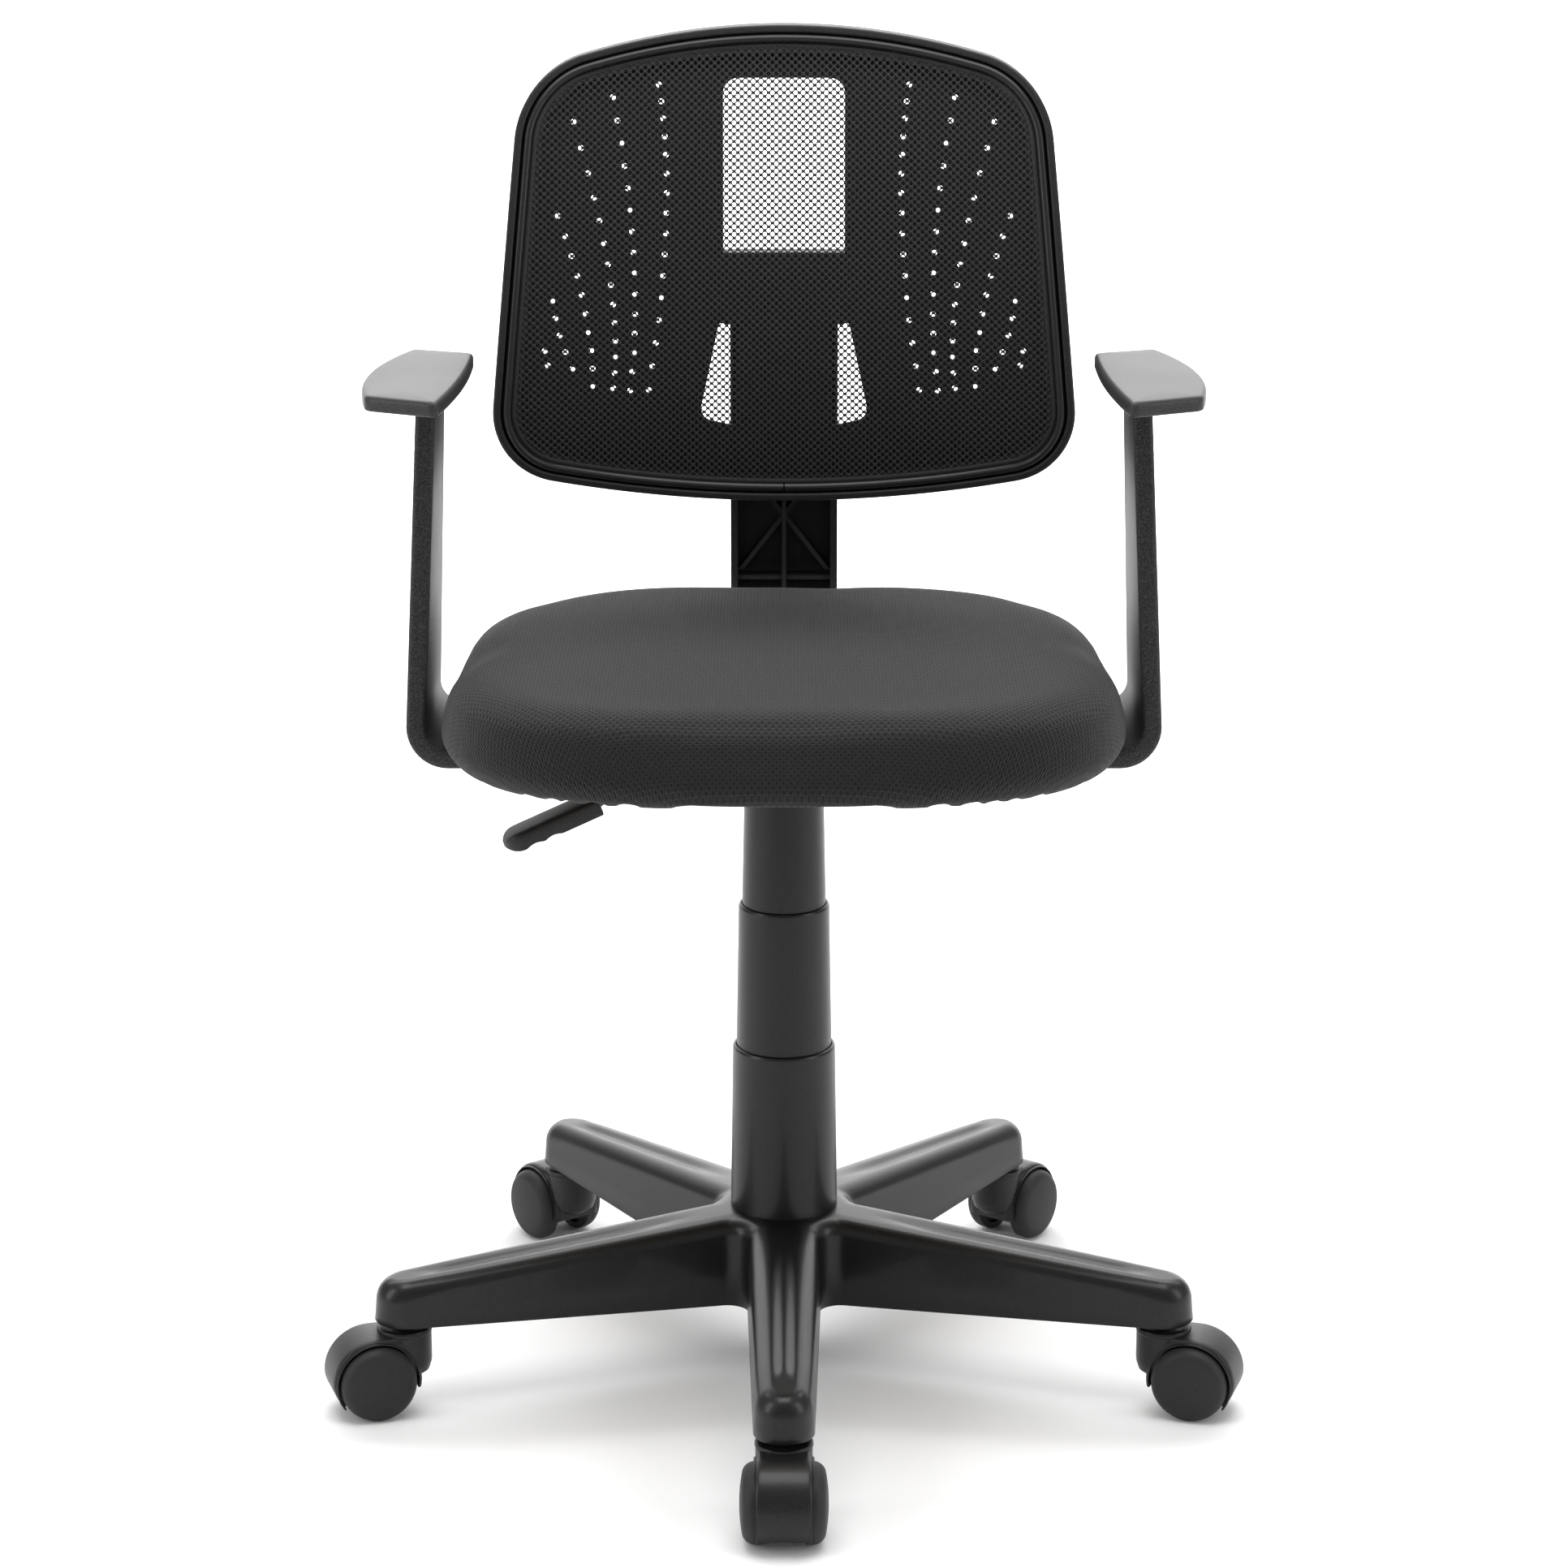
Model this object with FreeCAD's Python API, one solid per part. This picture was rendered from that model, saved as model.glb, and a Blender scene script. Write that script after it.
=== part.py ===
"""Swivel office chair: star base on twin-wheel castors, gas lift, padded seat, fixed arms, pivoting back.

Millimetres, +Z up, the sitter faces -Y. The origin is on the floor under the column's axis.
"""

import FreeCAD, Part
import math
import os

from FreeCAD import Rotation, Vector

# Castors
WHEEL_RADIUS = 26.0
WHEEL_WIDTH = 14.9
WHEEL_TREAD = 6.0  # flat part of the tread, from the wheel's inner face
WHEEL_INNER = 13.35  # from the castor's middle plane to a wheel's inner face
CASTOR_TRAIL = 22.5  # swivel axis to axle
AXLE_RADIUS = 3.0
HOOD_HALF = 19.25  # half the fender's width
HOOD_SOCKET_RADIUS = 18.25
HOOD_SOCKET_RISE = 33.0  # top of the socket above the axle
FENDER_GAP = 1.5
FENDER_WALL = 3.0
STEM_RADIUS = 5.0
RUNNING = 0.05  # radial clearance of a shaft that turns or slides in a hole

# Base star
LEGS = 5
CASTOR_CIRCLE = 270.0
LEG_TIP_RADIUS = 18.5
LEG_ROOT_HALF = 25.0
LEG_WALL = 4.0
LEG_BLEND = 14.0  # plan radius between neighbouring legs
LEG_TOP_ROUND = 11.0
BASE_HUB_RADIUS = 38.0
BASE_HUB_TOP = 115.0
LEG_TOP_AT_TIP = 94.0
LEG_CLEAR = 3.0  # leg's underside above the hood's socket
HUB_UNDERSIDE = 53.0
HUB_BOSS_RADIUS = 32.0

# Gas lift
COLUMN_RADIUS = 25.0
COLUMN_TAPER = 1.0  # lost from the radius over the base's bore
COLUMN_WALL = 2.0
COLUMN_TOP = 290.0
COLUMN_FLOOR = 3.0
CYLINDER_RADIUS = 14.0
CYLINDER_WALL = 1.6
CYLINDER_BOTTOM = 203.0
CYLINDER_TOP = 446.0
CYLINDER_TAPER = 0.8
ROD_RADIUS = 5.0
ROD_STUD_RADIUS = 4.0
VALVE_RADIUS = 3.0
VALVE_PROUD = 6.0

# Column covers: radii at the rims, and the heights of the rims
COVER_WALL = 1.5
COVER_SHOULDER = 2.0
COVER_LAP = 20.0
COVER_GAP = 0.6
LOWER_COVER_RADII = (36.7, 34.9)
LOWER_COVER_TOP = 231.5
MIDDLE_COVER_RADII = (32.5, 30.75)
MIDDLE_COVER_TOP = 332.0
UPPER_COVER_RADII = (28.4, 27.0)

# Seat
SEAT_WIDTH = 455.0
SEAT_DEPTH = 430.0
SEAT_CENTRE_Y = -8.0
SEAT_CROWN = 507.0
SEAT_UNDERSIDE = 452.0
SEAT_SQUARENESS = 3.0
BOARD_BOTTOM = 462.0
BOARD_THICK = 12.0
BOARD_INSET = 22.0
PLATE_THICK = 2.5
PLATE_HALF_X = 80.0
PLATE_BACK_Y = 68.0
PLATE_FRONT_Y = -90.0
BOX_HALF_X = 45.0
BOX_HALF_Y = 56.0
BOX_BOTTOM = 418.0
SOFT_GAP = 1.5  # round every hard piece inside the cushion

# Height lever
LEVER_PIVOT_X = -36.0
LEVER_PIVOT_Z = 452.0
LEVER_ROD_RADIUS = 4.0
LEVER_EYE_RADIUS = 6.0
LEVER_PIN_RADIUS = 2.5
LEVER_BENDS = ((-52, 0, 448), (-68, -8, 441), (-124, -43.5, 414.5))
GRIP_TIP = (-185, -62, 391)
GRIP_WIDTH = 25.0
GRIP_THICK = 9.0
GRIP_SOCKET = 30.0  # how far the rod reaches into the grip

# Arms
ARM_THICK = 13.0
ARM_TOP_X = 236.5
ARM_LOW_X = 245.7
ARM_BEND = 27.0
ARM_TOP_DEPTH = 80.0
ARM_LOW_DEPTH = 138.0
ARM_CENTRE_Y = -20.0
ARM_FOOT_X = 118.0
ARM_RIB_PROUD = 2.5
ARM_RIB_WIDTH = 22.0
PAD_TOP = 700.0
PAD_THICK = 10.0

# Back
BACK_MID_Z = 640.0  # height where the back's face is furthest forward
BACK_FACE_Y = 222.0
BACK_CURL = 0.00058  # per millimetre, how the face falls back above and below
BACK_WRAP = 32.0  # how far the face comes forward at BACK_WRAP_HALF
BACK_WRAP_HALF = 197.0
BACK_TOP = 896.0
BACK_BOTTOM = 563.0
BACK_TOP_RADIUS = 540.0
BACK_BOTTOM_RADIUS = 720.0
BACK_LOW_HALF = 204.0  # half widths of the leaning sides, low and at the top
BACK_TOP_HALF = 181.0
BACK_WIDEST_Z = 640.0
BACK_TOP_CORNER = 64.0
BACK_LOW_CORNER = 52.0
RIM_WIDTH = 5.5
RIM_FRONT = 3.0
RIM_BACK = 15.0
RIM_ROUND = 1.6  # on the rim's two front edges
GROOVE = 0.6
BEAD_WIDTH = 6.8
BEAD_FRONT = 3.0
CARRIER_WIDTH = 6.0
MESH_THICK = 1.0
SHELL_SETBACK = 9.0
SHELL_WALL = 3.0
WINDOW_HALF = 43.0
WINDOW_Z = (739.0, 859.0)
WINDOW_FLANGE = 16.0
WINDOW_CORNER = 11.0
SLOT_CORNER = 9.0  # at the lower slots' outer bottom corners; a third of it at their tops
VENT_RADIUS = 2.0

# Back bar and pivot
BAR_HALF = 38.5
BAR_DEPTH = 22.0
BAR_FRONT_Y = 252.0
BAR_WEB = 4.0
BAR_FLANGE = 5.0
BAR_RIB = 3.0
BAR_BEND = 45.0
BAR_FOOT_Y = 92.0
PIVOT_Z = 715.0
PIVOT_RADIUS = 4.0
PIVOT_BOSS = 15.0
EAR_THICK = 4.0
EAR_GAP = 0.5
BUSH_LENGTH = 16.0  # rubber sleeves in the bar's ends
BUSH_WALL = 4.0

# Fasteners
BOLT_RADIUS = 3.0
BOLT_HEAD_RADIUS = 5.8
BOLT_HEAD = 4.0
NUT_WALL = 1.2
SCREW_RADIUS = 2.0

AXLE_Z = WHEEL_RADIUS
HOOD_TOP = AXLE_Z + HOOD_SOCKET_RISE
LEG_BOTTOM_AT_TIP = HOOD_TOP + LEG_CLEAR
BOARD_TOP = BOARD_BOTTOM + BOARD_THICK
PLATE_BOTTOM = BOARD_BOTTOM - PLATE_THICK
BAR_AXIS_Y = BAR_FRONT_Y + BAR_DEPTH / 2
ARM_BOLT_X = ARM_FOOT_X + 32.0
ARM_BOLT_YS = (ARM_CENTRE_Y - 25.0, ARM_CENTRE_Y + 25.0)


def box(x0, x1, y0, y1, z0, z1):
    """Block between two corners."""
    return Part.makeBox(x1 - x0, y1 - y0, z1 - z0, Vector(x0, y0, z0))


def rod(radius, start, end):
    """Round bar from one point to another."""
    start = Vector(*start)
    along = Vector(*end) - start
    return Part.makeCylinder(radius, along.Length, start, along)


def tube(outer, inner, z0, z1, x=0.0, y=0.0):
    """Upright ring."""
    return rod(outer, (x, y, z0), (x, y, z1)).cut(rod(inner, (x, y, z0 - 1), (x, y, z1 + 1)))


def flat(points):
    """Face inside a closed polygon."""
    points = [Vector(*p) for p in points]
    return Part.Face(Part.makePolygon(points + points[:1]))


def turned(profile):
    """Solid of revolution about Z from (radius, z) corners."""
    return flat([(r, 0, z) for r, z in profile]).revolve(Vector(0, 0, 0), Vector(0, 0, 1), 360)


def arc(a, b, c):
    return Part.Arc(Vector(*a), Vector(*b), Vector(*c)).toShape()


def line(a, b):
    return Part.makeLine(Vector(*a), Vector(*b))


def joined(shapes):
    """One solid from touching shapes."""
    shapes = list(shapes)
    return shapes[0].multiFuse(shapes[1:]).removeSplitter() if len(shapes) > 1 else shapes[0]


def moved(shape, x=0.0, y=0.0, z=0.0, turn=0.0):
    """Copy of a shape turned about Z, then shifted."""
    copy = shape.copy()
    copy.rotate(Vector(0, 0, 0), Vector(0, 0, 1), turn)
    copy.translate(Vector(x, y, z))
    return copy


def mirrored(shape):
    """The other side's copy, across the YZ plane."""
    return shape.mirror(Vector(0, 0, 0), Vector(1, 0, 0))


def save(node, shape):
    """Write one node and say how many solids it holds."""
    solids = shape.Solids
    if not solids or not all(s.isValid() for s in solids):
        raise ValueError(node + " is not a valid solid")
    whole = solids[0] if len(solids) == 1 else Part.makeCompound(solids)
    whole.exportStep(os.path.join("parts", node + ".step"))
    size = whole.BoundBox
    measures = (node, len(solids), size.XLength, size.YLength, size.ZLength)
    print("%-18s %2d solid(s) %6.1f x %6.1f x %6.1f" % measures)


# ---------------------------------------------------------------- castors


def leg_turns():
    """Each leg's direction in degrees, the first towards the front."""
    return [-90.0 + k * 360.0 / LEGS for k in range(LEGS)]


def on_leg(shape, turn):
    """Place a shape made about the swivel axis, trailing towards +X, at a leg's tip."""
    angle = math.radians(turn)
    return moved(shape, CASTOR_CIRCLE * math.cos(angle), CASTOR_CIRCLE * math.sin(angle), 0, turn)


def axle_disc(radius, y0, y1):
    """Cylinder about the axle of the castor at the origin."""
    return rod(radius, (CASTOR_TRAIL, y0, AXLE_Z), (CASTOR_TRAIL, y1, AXLE_Z))


def castor_hood():
    """Hood: swivel socket, a web between the wheels and a fender that ends in a low point."""
    inner = WHEEL_RADIUS + FENDER_GAP
    outer = inner + FENDER_WALL
    half = HOOD_HALF
    web = WHEEL_INNER - 1.0
    skirt = box(0, CASTOR_TRAIL, -half, half, AXLE_Z + 4, AXLE_Z + outer)
    fender = axle_disc(outer, -half, half).fuse(skirt)
    tip_x = CASTOR_TRAIL + inner * math.cos(math.radians(36))
    tip_z = AXLE_Z - inner * math.sin(math.radians(36))
    far = CASTOR_TRAIL + 2 * outer
    below = [(CASTOR_TRAIL, AXLE_Z - 4), (tip_x, tip_z), (far, AXLE_Z), (far, -outer), (-far, -outer),
             (-far, AXLE_Z - 4)]
    under = flat([(x, -half - 1, z) for x, z in below]).extrude(Vector(0, 2 * half + 2, 0))
    fender = fender.cut(under)
    rim = HOOD_SOCKET_RADIUS
    socket = turned([(0, AXLE_Z - 2), (rim * 0.6, AXLE_Z - 2), (rim * 0.9, AXLE_Z + 2), (rim, AXLE_Z + 8),
                     (rim, HOOD_TOP - 1.2), (rim - 1.2, HOOD_TOP), (0, HOOD_TOP)])
    hood = fender.fuse(socket)
    for side in (-1, 1):
        hood = hood.cut(axle_disc(inner, side * web, side * (half + 10)))
    hood = hood.cut(axle_disc(AXLE_RADIUS, -half, half))
    bore = rod(STEM_RADIUS + RUNNING, (0, 0, AXLE_Z + 7), (0, 0, HOOD_TOP + 1))
    return hood.cut(bore).removeSplitter()


def castor_wheel(side):
    """Wheel: flat tread, domed and closed outer face, ribless recess on the inner face."""
    face = WHEEL_INNER
    tread = face + WHEEL_TREAD
    outside = face + WHEEL_WIDTH
    r = WHEEL_RADIUS
    bore = AXLE_RADIUS + RUNNING
    bore_end = outside - 3.5
    gate = 2.0  # small flat in the middle of the dome, where the mould was filled
    edges = [
        line((0, bore_end, 0), (bore, bore_end, 0)),
        line((bore, bore_end, 0), (bore, face, 0)),
        line((bore, face, 0), (r * 0.36, face, 0)),
        line((r * 0.36, face, 0), (r * 0.36, face + 4, 0)),
        line((r * 0.36, face + 4, 0), (r - 4.5, face + 4, 0)),
        line((r - 4.5, face + 4, 0), (r - 4.5, face, 0)),
        line((r - 4.5, face, 0), (r - 0.6, face, 0)),
        line((r - 0.6, face, 0), (r, face + 0.6, 0)),
        line((r, face + 0.6, 0), (r, tread, 0)),
        arc((r, tread, 0), (r * 0.93, outside - 4.6, 0), (r * 0.78, outside - 1.9, 0)),
        arc((r * 0.78, outside - 1.9, 0), (r * 0.4, outside - 0.45, 0), (gate, outside, 0)),
        line((gate, outside, 0), (0, outside, 0)),
        line((0, outside, 0), (0, bore_end, 0)),
    ]
    wheel = Part.Face(Part.Wire(edges)).revolve(Vector(0, 0, 0), Vector(0, 1, 0), 360)
    if side < 0:
        wheel = wheel.mirror(Vector(0, 0, 0), Vector(0, 1, 0))
    wheel.translate(Vector(CASTOR_TRAIL, 0, AXLE_Z))
    return wheel


def castor_axle():
    """Axle pin through the hood's web into both wheels."""
    reach = WHEEL_INNER + WHEEL_WIDTH - 4.5
    return axle_disc(AXLE_RADIUS, -reach, reach)


def castor_stem():
    """Stem: turned pin with a collar between the hood and the leg."""
    socket_top = LEG_TOP_AT_TIP - LEG_WALL - 6
    return turned([(0, AXLE_Z + 8), (STEM_RADIUS - 1, AXLE_Z + 8), (STEM_RADIUS, AXLE_Z + 9),
                   (STEM_RADIUS, HOOD_TOP + 0.4), (9, HOOD_TOP + 0.4), (9, LEG_BOTTOM_AT_TIP),
                   (STEM_RADIUS, LEG_BOTTOM_AT_TIP), (STEM_RADIUS, socket_top - 1),
                   (STEM_RADIUS - 1, socket_top), (0, socket_top)])


def stem_grip():
    """Split sleeve that holds a stem in its socket."""
    ring = tube(STEM_RADIUS + 1, STEM_RADIUS, LEG_BOTTOM_AT_TIP + 1, LEG_TOP_AT_TIP - LEG_WALL - 8)
    return ring.cut(box(0, STEM_RADIUS + 2, -0.8, 0.8, 0, LEG_TOP_AT_TIP))


# ---------------------------------------------------------------- base


def star(inset, open_below):
    """The star's body: a plan of tapered legs, kept between a conical underside and a conical top."""
    tip = LEG_TIP_RADIUS - inset
    root = LEG_ROOT_HALF - inset
    reach = CASTOR_CIRCLE
    legs = []
    for turn in leg_turns():
        leg = flat([(0, -root, 0), (reach, -tip, 0), (reach, tip, 0), (0, root, 0)])
        leg = leg.extrude(Vector(0, 0, 200))
        legs.append(moved(leg.fuse(rod(tip, (reach, 0, 0), (reach, 0, 200))), turn=turn))
    plan = joined(legs)
    corner = [e for e in plan.Edges if is_upright(e) and 20 < mid_radius(e) < 70]
    plan = plan.makeFillet(LEG_BLEND + inset, corner)
    end = reach + LEG_TIP_RADIUS + 5
    fall = (BASE_HUB_TOP - LEG_TOP_AT_TIP) / (reach - BASE_HUB_RADIUS)
    rise = (LEG_BOTTOM_AT_TIP - HUB_UNDERSIDE) / (reach - LEG_TIP_RADIUS - HUB_BOSS_RADIUS)
    top = BASE_HUB_TOP - inset
    end_top = LEG_TOP_AT_TIP - inset - fall * (end - reach)
    low = [(0, -10), (end, -10)] if open_below else [
        (0, HUB_UNDERSIDE), (HUB_BOSS_RADIUS, HUB_UNDERSIDE),
        (reach - LEG_TIP_RADIUS, HUB_UNDERSIDE + rise * (reach - LEG_TIP_RADIUS - HUB_BOSS_RADIUS)),
        (end, LEG_BOTTOM_AT_TIP)]
    envelope = turned(low + [(end, end_top), (BASE_HUB_RADIUS, top), (0, top)])
    return plan.common(envelope)


def is_upright(edge):
    """A straight edge along Z."""
    a, b = edge.Vertexes[0].Point, edge.Vertexes[-1].Point
    return abs(a.x - b.x) < 1e-6 and abs(a.y - b.y) < 1e-6 and abs(a.z - b.z) > 1


def mid_radius(edge):
    """Distance from the Z axis to the middle of an edge."""
    centre = edge.BoundBox.Center
    return math.hypot(centre.x, centre.y)


def column_radius_at(z):
    """The column tapers inside the base's bore, so that it wedges in."""
    share = (BASE_HUB_TOP - z) / (BASE_HUB_TOP - HUB_UNDERSIDE)
    return COLUMN_RADIUS - COLUMN_TAPER * max(0.0, share)


def base_star():
    """Star moulding: rounded top, hollow ribbed underside, tapered hub bore and castor sockets."""
    body = star(0, False)
    upper = [e for e in body.Edges if e.BoundBox.ZMin > LEG_BOTTOM_AT_TIP + 5 and not is_upright(e)
             and mid_radius(e) > BASE_HUB_RADIUS + 1]
    body = body.makeFillet(LEG_TOP_ROUND, upper)
    hollow = star(LEG_WALL, True)
    body = body.cut(hollow)
    inside = star(LEG_WALL - 0.5, False)
    boss = rod(HUB_BOSS_RADIUS, (0, 0, HUB_UNDERSIDE), (0, 0, BASE_HUB_TOP - 1))
    pieces = [body, boss]
    for turn in leg_turns():
        ribs = [box(HUB_BOSS_RADIUS - 2, CASTOR_CIRCLE, -1.25, 1.25, 0, 200)]
        for share in (0.28, 0.44, 0.6, 0.76):
            middle = share * CASTOR_CIRCLE
            ribs.append(box(middle - 1.25, middle + 1.25, -60, 60, 0, 200))
        for rib in ribs:
            pieces.append(moved(rib, turn=turn).common(inside))
        angle = math.radians(turn)
        x, y = CASTOR_CIRCLE * math.cos(angle), CASTOR_CIRCLE * math.sin(angle)
        pieces.append(rod(11, (x, y, LEG_BOTTOM_AT_TIP), (x, y, LEG_TOP_AT_TIP - LEG_WALL)))
    body = joined(pieces)
    bore_low = HUB_UNDERSIDE
    low_radius = column_radius_at(bore_low)
    bore = turned([(0, bore_low - 1), (low_radius, bore_low - 1), (low_radius, bore_low),
                   (COLUMN_RADIUS, BASE_HUB_TOP), (COLUMN_RADIUS, BASE_HUB_TOP + 1), (0, BASE_HUB_TOP + 1)])
    body = body.cut(bore)
    for turn in leg_turns():
        socket = rod(STEM_RADIUS + 1, (0, 0, LEG_BOTTOM_AT_TIP - 3), (0, 0, LEG_TOP_AT_TIP - LEG_WALL - 4))
        body = body.cut(on_leg(socket, turn))
    return body


# ---------------------------------------------------------------- gas lift

TUBE_FLOOR_Z = HUB_UNDERSIDE + 3.0
WASHER = 1.5
BEARING = 6.0
WASHER_TOP = TUBE_FLOOR_Z + COLUMN_FLOOR + 2 * WASHER + BEARING
STUD_END = TUBE_FLOOR_Z - 6.0
PISTON_Z = CYLINDER_BOTTOM + 8.0
BUSH_BOTTOM = COLUMN_TOP - 75.0


def column_tube():
    """Steel outer tube, wedged in the base, closed below but for the rod's hole."""
    low = TUBE_FLOOR_Z
    inner = COLUMN_RADIUS - COLUMN_WALL
    outer = turned([(0, low), (column_radius_at(low), low), (COLUMN_RADIUS, BASE_HUB_TOP),
                    (COLUMN_RADIUS, COLUMN_TOP), (0, COLUMN_TOP)])
    floor = low + COLUMN_FLOOR
    hollow = turned([(0, floor), (inner - COLUMN_TAPER, floor), (inner, BASE_HUB_TOP),
                     (inner, COLUMN_TOP + 1), (0, COLUMN_TOP + 1)])
    return outer.cut(hollow).cut(rod(ROD_STUD_RADIUS + 0.3, (0, 0, low - 1), (0, 0, low + COLUMN_FLOOR + 1)))


def column_bush():
    """Plastic guide in the tube's mouth, in which the cylinder slides and turns."""
    inner = CYLINDER_RADIUS + RUNNING
    outer = COLUMN_RADIUS - COLUMN_WALL
    lip = COLUMN_TOP + 3
    return turned([(inner, BUSH_BOTTOM), (outer, BUSH_BOTTOM), (outer, COLUMN_TOP),
                   (COLUMN_RADIUS, COLUMN_TOP), (COLUMN_RADIUS, lip), (inner, lip)])


def piston_rod():
    """Rod with its piston head, turned down to a stud that is clipped under the tube."""
    head = CYLINDER_RADIUS - CYLINDER_WALL - RUNNING
    groove = TUBE_FLOOR_Z - 2.6
    stud = ROD_STUD_RADIUS
    core = stud - 0.9
    return turned([(0, STUD_END), (stud, STUD_END), (stud, groove), (core, groove), (core, groove + 1.7),
                   (stud, groove + 1.7), (stud, WASHER_TOP + 0.1), (ROD_RADIUS, WASHER_TOP + 0.1),
                   (ROD_RADIUS, PISTON_Z + 0.5), (head, PISTON_Z + 0.5), (head, PISTON_Z + 10.5),
                   (0, PISTON_Z + 10.5)])


def gas_cylinder():
    """Cylinder: gland below, taper above for the seat plate's socket, hole for the valve pin."""
    r = CYLINDER_RADIUS
    low, high = CYLINDER_BOTTOM, CYLINDER_TOP
    body = turned([(0, low), (r, low), (r, BOX_BOTTOM), (r - CYLINDER_TAPER, high), (0, high)])
    hollow = rod(r - CYLINDER_WALL, (0, 0, PISTON_Z), (0, 0, high - 8))
    gland = rod(ROD_RADIUS + RUNNING, (0, 0, low - 1), (0, 0, PISTON_Z + 1))
    valve = rod(VALVE_RADIUS + RUNNING, (0, 0, high - 9), (0, 0, high + 1))
    return body.cut(hollow).cut(gland).cut(valve)


def valve_pin():
    """Release pin on top of the cylinder."""
    top = CYLINDER_TOP + VALVE_PROUD
    return rod(VALVE_RADIUS, (0, 0, CYLINDER_TOP - 14), (0, 0, top))


def cover(radii, bottom, top, lap, next_radius):
    """Thin tapered cover: radii hold at its exposed ends, and its skirt runs on below by the lap."""
    slope = (radii[0] - radii[1]) / (top - bottom)
    low = bottom - lap
    low_radius = radii[0] + slope * lap
    mouth = next_radius + COVER_GAP
    shoulder = COVER_SHOULDER
    neck = radii[1] + slope * shoulder
    return turned([(low_radius, low), (neck, top - shoulder), (radii[1] - 0.6, top - 0.5),
                   (radii[1] - shoulder + 0.2, top), (mouth, top), (mouth, top - COVER_WALL),
                   (neck - COVER_WALL, top - COVER_WALL - shoulder), (low_radius - COVER_WALL, low)])


def upper_cover():
    """The cover that hangs from the seat plate: an open tapered tube with a ring at its top."""
    slope = (UPPER_COVER_RADII[0] - UPPER_COVER_RADII[1]) / 68.0
    low = MIDDLE_COVER_TOP - COVER_LAP
    high = BOX_BOTTOM - 0.5
    low_radius = UPPER_COVER_RADII[0] + slope * COVER_LAP
    high_radius = UPPER_COVER_RADII[0] - slope * (high - MIDDLE_COVER_TOP)
    wall = COVER_WALL - 0.2
    inner = CYLINDER_RADIUS + 6.0
    return turned([(low_radius, low), (high_radius, high), (inner, high), (inner, high - 2),
                   (high_radius - wall, high - 2), (low_radius - wall, low)])


# ---------------------------------------------------------------- seat


def seat_outline(inset, z, points=24):
    """Plan of the seat: a superellipse that narrows a little towards the back."""
    wide = SEAT_WIDTH / 2 - inset
    deep = SEAT_DEPTH / 2 - inset
    corners = []
    for k in range(points):
        angle = 2 * math.pi * k / points
        c, s = math.cos(angle), math.sin(angle)
        y = deep * math.copysign(abs(s) ** (2 / SEAT_SQUARENESS), s)
        x = wide * math.copysign(abs(c) ** (2 / SEAT_SQUARENESS), c) * (1 - 0.06 * y / deep)
        corners.append(Vector(x, y + SEAT_CENTRE_Y, z))
    curve = Part.BSplineCurve()
    curve.interpolate(corners, PeriodicFlag=True)
    return Part.Wire(curve.toShape())


def seat_board():
    """Plywood board that carries the cushion, drilled for its tee nuts."""
    board = Part.Face(seat_outline(BOARD_INSET, BOARD_BOTTOM)).extrude(Vector(0, 0, BOARD_THICK))
    for x, y in bolt_places():
        board = board.cut(rod(BOLT_RADIUS + NUT_WALL, (x, y, BOARD_BOTTOM - 1), (x, y, BOARD_TOP + 1)))
    return board


def seat_cushion():
    """Upholstered block: a barrel of plan outlines, hollowed round the board, the bar and the arms' feet."""
    rise = SEAT_CROWN - SEAT_UNDERSIDE
    levels = [(24.0, 0.0), (6.0, 0.14), (0.0, 0.4), (3.0, 0.62), (20.0, 0.88), (44.0, 1.0)]
    wires = [seat_outline(inset, SEAT_UNDERSIDE + share * rise) for inset, share in levels]
    cushion = Part.makeLoft(wires, True, False)
    gap = SOFT_GAP
    pocket = Part.Face(seat_outline(BOARD_INSET - gap, SEAT_UNDERSIDE - 5))
    cushion = cushion.cut(pocket.extrude(Vector(0, 0, BOARD_TOP + NUT_WALL + gap - SEAT_UNDERSIDE + 5)))
    foot_z = BOARD_BOTTOM + 0.5
    half = ARM_LOW_DEPTH / 2 + gap
    reach = SEAT_WIDTH / 2 + gap
    feet = box(-reach, reach, ARM_CENTRE_Y - half, ARM_CENTRE_Y + half, SEAT_UNDERSIDE - 5, foot_z)
    bar = box(-BAR_HALF - gap, BAR_HALF + gap, BAR_FOOT_Y, SEAT_DEPTH, SEAT_UNDERSIDE - 5, foot_z)
    room = arm_profile(0, gap).extrude(Vector(0, 2 * half, 0))
    room.translate(Vector(0, ARM_CENTRE_Y - half, 0))
    return cushion.cut(feet).cut(bar).cut(room).cut(mirrored(room))


def plate_bolt_places():
    """Four bolts near the corners of the seat plate."""
    x = PLATE_HALF_X - 14
    return [(sx * x, y) for sx in (-1, 1) for y in (PLATE_FRONT_Y + 14, PLATE_BACK_Y - 14)]


def arm_bolt_places():
    """Two bolts in each arm's foot."""
    return [(sx * ARM_BOLT_X, y) for sx in (-1, 1) for y in ARM_BOLT_YS]


def bar_bolt_places():
    """Three bolts in the back bar's foot."""
    return [(-22, BAR_FOOT_Y + 14), (22, BAR_FOOT_Y + 14), (0, BAR_FOOT_Y + 52)]


def bolt_places():
    return plate_bolt_places() + arm_bolt_places() + bar_bolt_places()


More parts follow.
